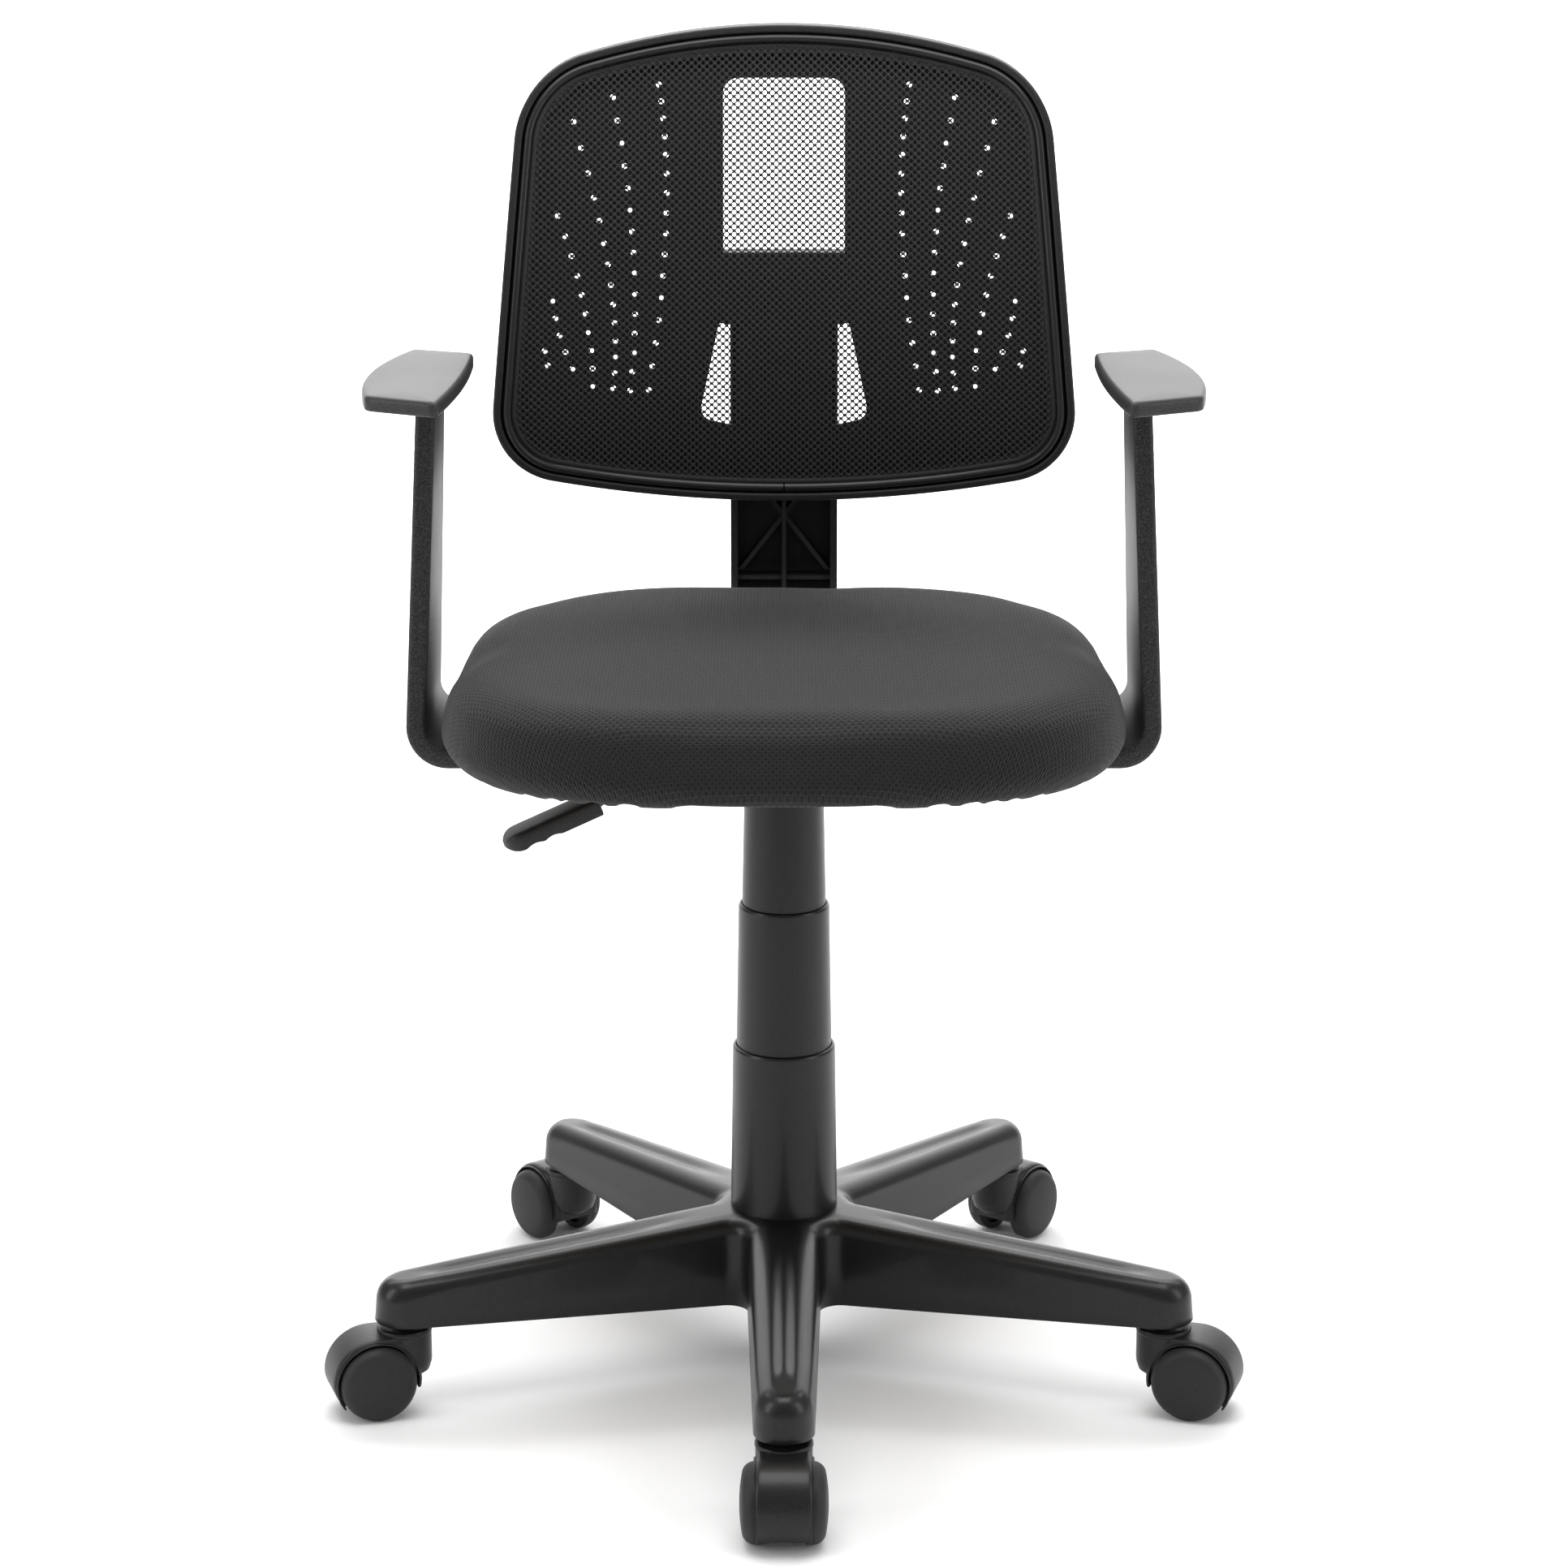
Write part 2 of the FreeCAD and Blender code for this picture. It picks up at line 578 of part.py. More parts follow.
def bolts(places, seat_z):
    """Hexagon-headed bolts, up through what they clamp and into the board's tee nuts."""
    made = []
    for x, y in places:
        corners = []
        for k in range(6):
            angle = math.radians(60 * k)
            corners.append((x + BOLT_HEAD_RADIUS * math.cos(angle), y + BOLT_HEAD_RADIUS * math.sin(angle),
                            seat_z - BOLT_HEAD))
        head = flat(corners).extrude(Vector(0, 0, BOLT_HEAD))
        made.append(joined([head, rod(BOLT_RADIUS, (x, y, seat_z), (x, y, BOARD_TOP))]))
    return Part.makeCompound(made)


def tee_nuts():
    """Tee nuts pressed in the board from above."""
    made = []
    for x, y in bolt_places():
        barrel = rod(BOLT_RADIUS + NUT_WALL, (x, y, BOARD_BOTTOM + 1), (x, y, BOARD_TOP))
        flange = rod(9.0, (x, y, BOARD_TOP), (x, y, BOARD_TOP + NUT_WALL))
        made.append(barrel.fuse(flange).cut(rod(BOLT_RADIUS, (x, y, 0), (x, y, BOARD_TOP + 5))))
    return Part.makeCompound(made)


def seat_plate():
    """Pressed-steel seat plate: flange under the board, box for the lever, socket for the cylinder."""
    t = PLATE_THICK
    flange = box(-PLATE_HALF_X, PLATE_HALF_X, PLATE_FRONT_Y, PLATE_BACK_Y, PLATE_BOTTOM, BOARD_BOTTOM)
    shell = box(-BOX_HALF_X, BOX_HALF_X, -BOX_HALF_Y, BOX_HALF_Y, BOX_BOTTOM, PLATE_BOTTOM)
    wide, deep = BOX_HALF_X - t, BOX_HALF_Y - t
    inside = box(-wide, wide, -deep, deep, BOX_BOTTOM + t, BOARD_BOTTOM + 1)
    body = joined([flange, shell]).cut(inside)
    tab_x = (LEVER_PIVOT_X - LEVER_EYE_RADIUS, LEVER_PIVOT_X + LEVER_EYE_RADIUS)
    tabs = [box(*tab_x, y, y + 3, BOX_BOTTOM + 1, LEVER_PIVOT_Z + LEVER_EYE_RADIUS) for y in (-9, 6)]
    socket = rod(CYLINDER_RADIUS + 4, (0, 0, BOX_BOTTOM), (0, 0, CYLINDER_TOP - 2))
    body = joined([body, socket] + tabs)
    high = CYLINDER_TOP
    taper = turned([(0, BOX_BOTTOM - 1), (CYLINDER_RADIUS, BOX_BOTTOM - 1), (CYLINDER_RADIUS, BOX_BOTTOM),
                    (CYLINDER_RADIUS - CYLINDER_TAPER, high), (0, high)])
    body = body.cut(taper)
    x, z = LEVER_PIVOT_X, LEVER_PIVOT_Z
    body = body.cut(rod(LEVER_PIN_RADIUS, (x, -12, z), (x, 12, z)))
    body = body.cut(box(-BOX_HALF_X - 1, -BOX_HALF_X + t + 1, -10, 8, z - 14, PLATE_BOTTOM - 0.5))
    for x, y in plate_bolt_places():
        body = body.cut(rod(BOLT_RADIUS + 0.3, (x, y, PLATE_BOTTOM - 1), (x, y, BOARD_BOTTOM + 1)))
    return body


# ---------------------------------------------------------------- height lever


def lever_rod():
    """Bent rod with a flattened arm over the valve pin and an eye on the pivot."""
    x, z = LEVER_PIVOT_X, LEVER_PIVOT_Z
    r = LEVER_ROD_RADIUS
    low = CYLINDER_TOP + VALVE_PROUD + 0.4
    arm = box(x, VALVE_RADIUS + 1, -3.5, 3.5, low, low + 4)
    eye = rod(LEVER_EYE_RADIUS, (x, -5.5, z), (x, 5.5, z))
    path = [(x, 0, z)] + [tuple(p) for p in LEVER_BENDS] + [grip_point(GRIP_SOCKET)]
    pieces = [arm, eye]
    for a, b in zip(path, path[1:]):
        pieces.append(rod(r, a, b))
        pieces.append(Part.makeSphere(r, Vector(*b)))
    pin = rod(LEVER_PIN_RADIUS + RUNNING, (x, -12, z), (x, 12, z))
    return joined(pieces[:-1]).cut(pin)


def grip_direction():
    return (Vector(*GRIP_TIP) - Vector(*LEVER_BENDS[-1])).normalize()


def grip_point(distance):
    """Point on the grip's middle line, measured from its inner end."""
    p = Vector(*LEVER_BENDS[-1]) + grip_direction() * distance
    return (p.x, p.y, p.z)


def lever_grip():
    """Finger paddle: flat top, rounded tip and three finger waves below."""
    length = (Vector(*GRIP_TIP) - Vector(*LEVER_BENDS[-1])).Length
    half = GRIP_WIDTH / 2
    top = GRIP_THICK / 2
    wave = length / 3.6
    edges = [line((0, 0, top), (0, 0, -top))]
    for k in range(3):
        a, b = k * wave, (k + 1) * wave
        edges.append(arc((a, 0, -top), ((a + b) / 2, 0, -top + 2.2), (b, 0, -top)))
    edges.append(line((3 * wave, 0, -top), (length, 0, -top + 1)))
    edges.append(line((length, 0, -top + 1), (length, 0, top - 1)))
    edges.append(line((length, 0, top - 1), (length - 4, 0, top)))
    edges.append(line((length - 4, 0, top), (0, 0, top)))
    body = Part.Face(Part.Wire(edges)).extrude(Vector(0, GRIP_WIDTH, 0))
    body.translate(Vector(0, -half, 0))
    round_tip = rod(half, (length - half, 0, -20), (length - half, 0, 20))
    plan = box(-1, length - half, -half, half, -20, 20).fuse(round_tip)
    body = body.common(plan)
    body.Placement = FreeCAD.Placement(Vector(*LEVER_BENDS[-1]), grip_rotation())
    hole = rod(LEVER_ROD_RADIUS, grip_point(-3), grip_point(GRIP_SOCKET))
    return body.cut(hole).cut(lever_rod())


def grip_rotation():
    """Turns local X to the grip's direction and keeps local Y level."""
    along = grip_direction()
    level = Vector(0, 0, 1).cross(along).normalize()
    return Rotation(along, level, along.cross(level), "XYZ")


def lever_pin():
    return rod(LEVER_PIN_RADIUS, (LEVER_PIVOT_X, -11, LEVER_PIVOT_Z), (LEVER_PIVOT_X, 11, LEVER_PIVOT_Z))


# ---------------------------------------------------------------- arms


def arm_profile(outward, inward=0.0):
    """Front view of the left arm, its outer face moved outward and its inner face inward."""
    top = PAD_TOP - PAD_THICK
    foot = BOARD_BOTTOM
    sole = foot - ARM_THICK
    thick = ARM_THICK + inward
    r = ARM_BEND
    centre_x, centre_z = -ARM_LOW_X + r, sole + r
    inner_x = -ARM_LOW_X + thick
    foot += inward
    cos45 = math.sqrt(0.5)
    ro, ri = r + outward, r - thick
    edges = [
        line((-ARM_TOP_X - outward, 0, top), (-ARM_LOW_X - outward, 0, centre_z)),
        arc((-ARM_LOW_X - outward, 0, centre_z), (centre_x - ro * cos45, 0, centre_z - ro * cos45),
            (centre_x, 0, sole - outward)),
        line((centre_x, 0, sole - outward), (-ARM_FOOT_X, 0, sole - outward)),
        line((-ARM_FOOT_X, 0, sole - outward), (-ARM_FOOT_X, 0, foot)),
        line((-ARM_FOOT_X, 0, foot), (centre_x, 0, foot)),
        arc((centre_x, 0, foot), (centre_x - ri * cos45, 0, centre_z - ri * cos45), (inner_x, 0, centre_z)),
        line((inner_x, 0, centre_z), (-ARM_TOP_X + thick, 0, top)),
        line((-ARM_TOP_X + thick, 0, top), (-ARM_TOP_X - outward, 0, top)),
    ]
    return Part.Face(Part.Wire(edges))


def arm():
    """Left arm: a tapered upright on a bend and a foot, with a raised rib and two nubs on its outer face."""
    top = PAD_TOP - PAD_THICK
    low = BOARD_BOTTOM - ARM_THICK - ARM_RIB_PROUD - 1
    y = ARM_CENTRE_Y
    a, b = ARM_TOP_DEPTH / 2, ARM_LOW_DEPTH / 2
    side = flat([(0, y - a, top), (0, y + a, top), (0, y + b, low), (0, y - b, low)])
    side = side.extrude(Vector(-400, 0, 0))
    body = arm_profile(0).extrude(Vector(0, 300, 0))
    body.translate(Vector(0, -150, 0))
    body = body.common(side)
    rib = arm_profile(ARM_RIB_PROUD).extrude(Vector(0, ARM_RIB_WIDTH, 0))
    rib.translate(Vector(0, y - ARM_RIB_WIDTH / 2, 0))
    rib_top = top - 52.0
    nub = 8.0
    keep = [box(-400, -ARM_LOW_X + 40, y - 40, y + 40, low - 5, rib_top)]
    for k in (1, 2):
        nub_low = rib_top + 3.0 + (k - 1) * (nub + 2.5)
        keep.append(box(-400, 0, y - 40, y + 40, nub_low, nub_low + nub))
    pieces = [body] + [rib.common(k) for k in keep]
    body = joined(pieces)
    for x, by in arm_bolt_places():
        body = body.cut(rod(BOLT_RADIUS + 0.3, (x, by, 400), (x, by, BOARD_BOTTOM + 1)))
    for sx, sy in pad_screw_places():
        body = body.cut(rod(SCREW_RADIUS, (sx, sy, top - 14), (sx, sy, top + 1)))
    return body


def pad_screw_places():
    """Two screws hold the pad on the left upright."""
    x = -ARM_TOP_X + ARM_THICK / 2
    return [(x, ARM_CENTRE_Y - 20), (x, ARM_CENTRE_Y + 20)]


def arm_pad():
    """Left pad: straight slanted front, bowed outer edge, slightly bowed inner edge, rounded rim."""
    low = PAD_TOP - PAD_THICK
    x = -ARM_TOP_X
    y = ARM_CENTRE_Y
    front_out, front_in = (x - 27, y - 96, low), (x + 20, y - 120, low)
    back_in, back_out = (x + 30, y + 68, low), (x - 12, y + 84, low)
    edges = [
        line(front_out, front_in),
        arc(front_in, (x + 30, y - 22, low), back_in),
        line(back_in, back_out),
        arc(back_out, (x - 32, y - 8, low), front_out),
    ]
    pad = Part.Face(Part.Wire(edges)).extrude(Vector(0, 0, PAD_THICK))
    pad = pad.makeFillet(6.0, [e for e in pad.Edges if is_upright(e)])
    pad = pad.makeFillet(3.5, [e for e in pad.Edges if e.BoundBox.ZMin > PAD_TOP - 0.1])
    for sx, sy in pad_screw_places():
        pad = pad.cut(rod(SCREW_RADIUS, (sx, sy, low - 1), (sx, sy, low + 6)))
    return pad


def pad_screws():
    """Screws in both pads, from the arms' tops."""
    low = PAD_TOP - PAD_THICK
    left = [rod(SCREW_RADIUS, (x, y, low - 12), (x, y, low + 5)) for x, y in pad_screw_places()]
    return Part.makeCompound(left + [mirrored(s) for s in left])


# ---------------------------------------------------------------- back


def back_y(x, z):
    """Depth of the back's face: furthest forward at BACK_MID_Z and at the sides."""
    return BACK_FACE_Y + BACK_CURL * (z - BACK_MID_Z) ** 2 - BACK_WRAP * (x / BACK_WRAP_HALF) ** 2


def back_layer(front, thick):
    """Curved slab, larger than the back all round: the back's face moved along Y, with a thickness along Y."""
    reach = BACK_LOW_HALF + 36.0
    low, high = BACK_BOTTOM - 23.0, BACK_TOP + 44.0
    xs = [-reach + reach * k / 4 for k in range(9)]
    zs = [low + (high - low) * k / 8 for k in range(9)]
    grid = [[Vector(x, back_y(x, z) + front, z) for z in zs] for x in xs]
    surface = Part.BSplineSurface()
    surface.interpolate(grid)
    return surface.toShape().extrude(Vector(0, thick, 0))


def back_half(z):
    """Half the back's width at a height, before its corners are rounded."""
    return BACK_LOW_HALF + (BACK_TOP_HALF - BACK_LOW_HALF) * (z - BACK_WIDEST_Z) / (BACK_TOP - BACK_WIDEST_Z)


def back_prism(inset):
    """Everything before and behind the back's outline moved inward: bowed top and bottom, leaning sides."""
    near, far = 60, 460
    crown = BACK_TOP - BACK_TOP_RADIUS
    keel = BACK_BOTTOM + BACK_BOTTOM_RADIUS
    body = rod(BACK_TOP_RADIUS - inset, (0, near, crown), (0, far, crown))
    body = body.common(rod(BACK_BOTTOM_RADIUS - inset, (0, near, keel), (0, far, keel)))
    low, high = BACK_BOTTOM - 20, BACK_TOP + 20
    lean = math.atan2(BACK_LOW_HALF - BACK_TOP_HALF, BACK_TOP - BACK_WIDEST_Z)
    trim = inset / math.cos(lean)
    a, b = back_half(low) - trim, back_half(high) - trim
    sides = flat([(-a, near, low), (a, near, low), (b, near, high), (-b, near, high)])
    body = body.common(sides.extrude(Vector(0, far - near, 0)))
    middle = (BACK_TOP + BACK_BOTTOM) / 2
    upper = [e for e in long_edges(body) if e.BoundBox.ZMin > middle]
    body = body.makeFillet(BACK_TOP_CORNER - inset, upper)
    lower = [e for e in long_edges(body) if e.BoundBox.ZMax < middle]
    return body.makeFillet(BACK_LOW_CORNER - inset, lower)


def long_edges(body):
    """A prism's corner edges: straight, along Y, and off the middle plane."""
    return [e for e in body.Edges if e.BoundBox.YLength > 399 and abs(e.BoundBox.XMin) > 1]


def back_ring(outer, inner, front, thick):
    """Frame-shaped layer between two insets of the outline."""
    return back_layer(front, thick).common(back_prism(outer).cut(back_prism(inner)))


def front_edges(ring, front):
    """A ring's edges that lie in its front face."""
    chosen = []
    for edge in ring.Edges:
        middle = edge.valueAt((edge.FirstParameter + edge.LastParameter) / 2)
        if abs(middle.y - back_y(middle.x, middle.z) - front) < 0.3:
            chosen.append(edge)
    return chosen


def window_prism(grow):
    """Upright window with rounded top corners."""
    low, high = WINDOW_Z
    body = box(-WINDOW_HALF - grow, WINDOW_HALF + grow, 60, 460, low - grow, high + grow)
    top = [e for e in long_edges(body) if e.BoundBox.ZMin > high - 1]
    return body.makeFillet(WINDOW_CORNER + grow, top)


def slot_prism():
    """Left lower slot: straight sides leaning apart downwards, slanted bottom, round outer corners."""
    top_in, top_out = (-32.5, 60, 690), (-46, 60, 690)
    low_out, low_in = (-60.5, 60, 622), (-35, 60, 616)
    edges = [line(top_in, top_out), line(top_out, low_out), line(low_out, low_in), line(low_in, top_in)]
    slot = Part.Face(Part.Wire(edges)).extrude(Vector(0, 400, 0))
    low_corner = [e for e in long_edges(slot) if e.BoundBox.XMin < low_out[0] + 1]
    slot = slot.makeFillet(SLOT_CORNER, low_corner)
    top_corner = [e for e in long_edges(slot) if abs(e.BoundBox.XMin - top_out[0]) < 1]
    return slot.makeFillet(SLOT_CORNER / 3, top_corner)


def vent_places():
    """Fan of vent holes left of the window: columns that bow outwards, evenly stepped."""
    fans = [
        (16, (-88, 855), (-83, 760), (-96, 643)),
        (15, (-120, 847), (-106, 740), (-109, 643)),
        (14, (-147.5, 831), (-123, 725), (-121, 645)),
        (10, (-158.5, 767), (-141, 705), (-135, 647)),
        (5, (-163, 708), (-158, 684), (-149.5, 660)),
        (2, (-168.5, 673.5), (-167.5, 668), (-166.5, 663)),
    ]
    places = []
    for count, a, b, c in fans:
        for k in range(count):
            t = k / (count - 1)
            wa, wb, wc = (1 - t) ** 2, 2 * t * (1 - t), t * t
            mx, mz = 2 * b[0] - (a[0] + c[0]) / 2, 2 * b[1] - (a[1] + c[1]) / 2
            places.append((wa * a[0] + wb * mx + wc * c[0], wa * a[1] + wb * mz + wc * c[1]))
    return places


def bracket_bosses():
    """Where the pivot bracket is screwed to the shell."""
    return [(sx * 30.0, PIVOT_Z + dz) for sx in (-1, 1) for dz in (-22.0, 14.0)]


def back_shell():
    """Moulded shell: outer rim, inner panel with window, slots and vents, flange round the window."""
    plate = back_layer(SHELL_SETBACK, SHELL_WALL).common(back_prism(RIM_WIDTH - 0.5))
    rim = back_ring(0, RIM_WIDTH, -RIM_FRONT, RIM_FRONT + RIM_BACK)
    rim = rim.makeFillet(RIM_ROUND, front_edges(rim, -RIM_FRONT))
    flange = back_layer(SHELL_SETBACK, SHELL_WALL + WINDOW_FLANGE).common(window_prism(SHELL_WALL))
    bosses = []
    for x, z in bracket_bosses():
        bosses.append(rod(5.0, (x, back_y(x, z) + SHELL_SETBACK + 0.5, z), (x, bracket_y(), z)))
    shell = joined([plate, rim, flange] + bosses)
    holes = [window_prism(0), slot_prism(), mirrored(slot_prism())]
    for x, z in vent_places():
        for side in (-1, 1):
            holes.append(rod(VENT_RADIUS, (side * x, 150, z), (side * x, 330, z)))
    shell = shell.cut(Part.makeCompound(holes))
    for x, z in bracket_bosses():
        shell = shell.cut(rod(SCREW_RADIUS, (x, bracket_y() - 6, z), (x, 330, z)))
    return shell


def bracket_y():
    """Front face of the pivot bracket, clear of the shell's panel all over its width."""
    return back_y(0, PIVOT_Z) + SHELL_SETBACK + SHELL_WALL + 4.0


def pivot_bracket():
    """Steel bracket: plate on the shell's bosses, two ears beside the bar, eyes for the pin."""
    y0 = bracket_y()
    outer = BAR_HALF + EAR_GAP + EAR_THICK
    low, high = PIVOT_Z - 28, PIVOT_Z + 20
    plate = box(-outer, outer, y0, y0 + 3, low, high)
    pieces = [plate]
    for side in (-1, 1):
        x0 = side * (BAR_HALF + EAR_GAP)
        ear = box(min(x0, side * outer), max(x0, side * outer), y0, BAR_AXIS_Y, PIVOT_Z - 12, PIVOT_Z + 12)
        pieces += [ear, rod(12, (x0, BAR_AXIS_Y, PIVOT_Z), (side * outer, BAR_AXIS_Y, PIVOT_Z))]
    body = joined(pieces)
    body = body.cut(rod(PIVOT_RADIUS, (-outer - 1, BAR_AXIS_Y, PIVOT_Z), (outer + 1, BAR_AXIS_Y, PIVOT_Z)))
    for x, z in bracket_bosses():
        body = body.cut(rod(SCREW_RADIUS + 0.2, (x, y0 - 1, z), (x, y0 + 4, z)))
    return body


def bracket_screws():
    made = []
    for x, z in bracket_bosses():
        y0 = bracket_y()
        shank = rod(SCREW_RADIUS, (x, y0 - 5.5, z), (x, y0 + 3, z))
        made.append(shank.fuse(rod(3.6, (x, y0 + 3, z), (x, y0 + 5, z))))
    return Part.makeCompound(made)


def pivot_pin():
    reach = BAR_HALF + EAR_GAP + EAR_THICK + 2
    return rod(PIVOT_RADIUS, (-reach, BAR_AXIS_Y, PIVOT_Z), (reach, BAR_AXIS_Y, PIVOT_Z))


def pivot_bushes():
    """Rubber sleeves in the bar's ends, which bring the back to its rest angle."""
    made = []
    for side in (-1, 1):
        a, b = (side * (BAR_HALF - BUSH_LENGTH), BAR_AXIS_Y, PIVOT_Z), (side * BAR_HALF, BAR_AXIS_Y, PIVOT_Z)
        made.append(rod(PIVOT_RADIUS + BUSH_WALL, a, b).cut(rod(PIVOT_RADIUS + RUNNING, a, b)))
    return Part.makeCompound(made)


def bar_side(front_trim):
    """Side view of the back bar, its sitter's side trimmed: foot, bend and upright up to the pivot."""
    foot_top, foot_low = BOARD_BOTTOM - front_trim, BOARD_BOTTOM - BAR_DEPTH
    front, rear = BAR_FRONT_Y + front_trim, BAR_FRONT_Y + BAR_DEPTH
    bend = BAR_BEND
    cy, cz = BAR_FRONT_Y - bend, BOARD_BOTTOM + bend
    c = math.sqrt(0.5)
    ro, ri = bend + BAR_DEPTH, bend + front_trim
    edges = [
        line((0, BAR_FOOT_Y, foot_top), (0, BAR_FOOT_Y, foot_low)),
        line((0, BAR_FOOT_Y, foot_low), (0, cy, foot_low)),
        arc((0, cy, foot_low), (0, cy + ro * c, cz - ro * c), (0, rear, cz)),
        line((0, rear, cz), (0, rear, PIVOT_Z)),
        line((0, rear, PIVOT_Z), (0, front, PIVOT_Z)),
        line((0, front, PIVOT_Z), (0, front, cz)),
        arc((0, front, cz), (0, cy + ri * c, cz - ri * c), (0, cy, foot_top)),
        line((0, cy, foot_top), (0, BAR_FOOT_Y, foot_top)),
    ]
    return Part.Face(Part.Wire(edges))


def across(face, x0, x1):
    """Extrude a side view between two X positions."""
    solid = face.extrude(Vector(x1 - x0, 0, 0))
    solid.translate(Vector(x0, 0, 0))
    return solid


def back_bar():
    """Bar: a channel open towards the sitter, with flanges, a middle rib, cross ribs and a braced panel."""
    half = BAR_HALF
    web = across(bar_side(BAR_DEPTH - BAR_WEB), -half, half)
    pieces = [web]
    whole = bar_side(0)
    for x0, x1 in ((-half, -half + BAR_FLANGE), (half - BAR_FLANGE, half)):
        pieces.append(across(whole, x0, x1))
    inner = across(bar_side(3.0), -half + 1, half - 1)
    pieces.append(across(whole, -BAR_RIB / 2, BAR_RIB / 2))
    for z in (500, 592, 662):
        pieces.append(box(-half, half, 200, 320, z - BAR_RIB / 2, z + BAR_RIB / 2).common(inner))
    brace = box(-150, 150, 200, 320, -BAR_RIB / 2, BAR_RIB / 2)
    for middle in (546, 627):
        for lean in (-1, 1):
            slat = brace.copy()
            slat.rotate(Vector(0, 0, 0), Vector(0, 1, 0), lean * 52)
            slat.translate(Vector(0, 0, middle))
            limits = box(-half + 1, half - 1, 200, 320, middle - 40, middle + 40)
            pieces.append(slat.common(limits).common(inner))
    head = rod(PIVOT_BOSS, (-half, BAR_AXIS_Y, PIVOT_Z), (half, BAR_AXIS_Y, PIVOT_Z))
    pieces.append(head)
    for x, y in bar_bolt_places():
        pieces.append(rod(8.0, (x, y, BOARD_BOTTOM - BAR_DEPTH), (x, y, BOARD_BOTTOM)))
    body = joined(pieces)
    end = half + 1
    body = body.cut(rod(PIVOT_RADIUS + 0.5, (-end, BAR_AXIS_Y, PIVOT_Z), (end, BAR_AXIS_Y, PIVOT_Z)))
    for side in (-1, 1):
        a, b = (side * (half - BUSH_LENGTH), BAR_AXIS_Y, PIVOT_Z), (side * end, BAR_AXIS_Y, PIVOT_Z)
        body = body.cut(rod(PIVOT_RADIUS + BUSH_WALL, a, b))
    for x, y in bar_bolt_places():
        body = body.cut(rod(BOLT_RADIUS + 0.3, (x, y, 400), (x, y, BOARD_BOTTOM + 1)))
    return body


# ---------------------------------------------------------------- build


def main():
    os.makedirs("parts", exist_ok=True)
    hood, axle = castor_hood(), castor_axle()
    wheels = {"left": castor_wheel(-1), "right": castor_wheel(1)}
    for number, turn in enumerate(leg_turns(), start=1):
        save("castor_hood_%d" % number, on_leg(hood, turn))
        save("castor_axle_%d" % number, on_leg(axle, turn))
        for side, wheel in wheels.items():
            save("wheel_%d_%s" % (number, side), on_leg(wheel, turn))
    save("castor_stems", Part.makeCompound([on_leg(castor_stem(), t) for t in leg_turns()]))
    save("stem_grips", Part.makeCompound([on_leg(stem_grip(), t) for t in leg_turns()]))
    save("base_star", base_star())

    save("column_tube", column_tube())
    save("column_bush", column_bush())
    floor = TUBE_FLOOR_Z + COLUMN_FLOOR
    race = ROD_STUD_RADIUS + 0.2
    save("thrust_bearing", tube(12, race, floor + WASHER, floor + WASHER + BEARING))
    washers = [tube(12, race, z, z + WASHER) for z in (floor, WASHER_TOP - WASHER)]
    save("bearing_washers", Part.makeCompound(washers))
    save("rubber_buffer", tube(16, ROD_RADIUS + 0.8, WASHER_TOP + 0.5, WASHER_TOP + 12))
    clip = TUBE_FLOOR_Z - 2.5
    ring = tube(7.5, ROD_STUD_RADIUS - 0.9, clip, clip + 1.5)
    save("retaining_clip", ring.cut(box(0, 9, -1.6, 1.6, clip - 1, clip + 3)))
    save("piston_rod", piston_rod())
    save("gas_cylinder", gas_cylinder())
    save("valve_pin", valve_pin())

    lower = cover(LOWER_COVER_RADII, BASE_HUB_TOP, LOWER_COVER_TOP, 0, MIDDLE_COVER_RADII[0])
    middle = cover(MIDDLE_COVER_RADII, LOWER_COVER_TOP, MIDDLE_COVER_TOP, COVER_LAP, UPPER_COVER_RADII[0])
    save("lower_cover", lower)
    save("middle_cover", middle)
    save("upper_cover", upper_cover())

    save("seat_plate", seat_plate())
    save("seat_board", seat_board())
    save("seat_cushion", seat_cushion())
    save("tee_nuts", tee_nuts())
    save("plate_bolts", bolts(plate_bolt_places(), PLATE_BOTTOM))
    save("arm_bolts", bolts(arm_bolt_places(), BOARD_BOTTOM - ARM_THICK))
    save("bar_bolts", bolts(bar_bolt_places(), BOARD_BOTTOM - BAR_DEPTH))
    save("lever_rod", lever_rod())
    save("lever_grip", lever_grip())
    save("lever_pin", lever_pin())

    left_arm, left_pad = arm(), arm_pad()
    save("arm_left", left_arm)
    save("arm_right", mirrored(left_arm))
    save("arm_pad_left", left_pad)
    save("arm_pad_right", mirrored(left_pad))
    save("pad_screws", pad_screws())

    save("back_bar", back_bar())
    save("pivot_bushes", pivot_bushes())
    save("pivot_pin", pivot_pin())
    save("pivot_bracket", pivot_bracket())
    save("bracket_screws", bracket_screws())
    save("back_shell", back_shell())
    bead_in = RIM_WIDTH + GROOVE
    mesh_in = bead_in + BEAD_WIDTH
    carrier_in = mesh_in + CARRIER_WIDTH
    save("edge_bead", back_ring(bead_in, mesh_in, -BEAD_FRONT, BEAD_FRONT + SHELL_SETBACK))
    save("mesh_carrier", back_ring(mesh_in, carrier_in, MESH_THICK, SHELL_SETBACK - MESH_THICK))
    save("back_mesh", back_layer(0, MESH_THICK).common(back_prism(mesh_in)))


main()
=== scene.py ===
import math

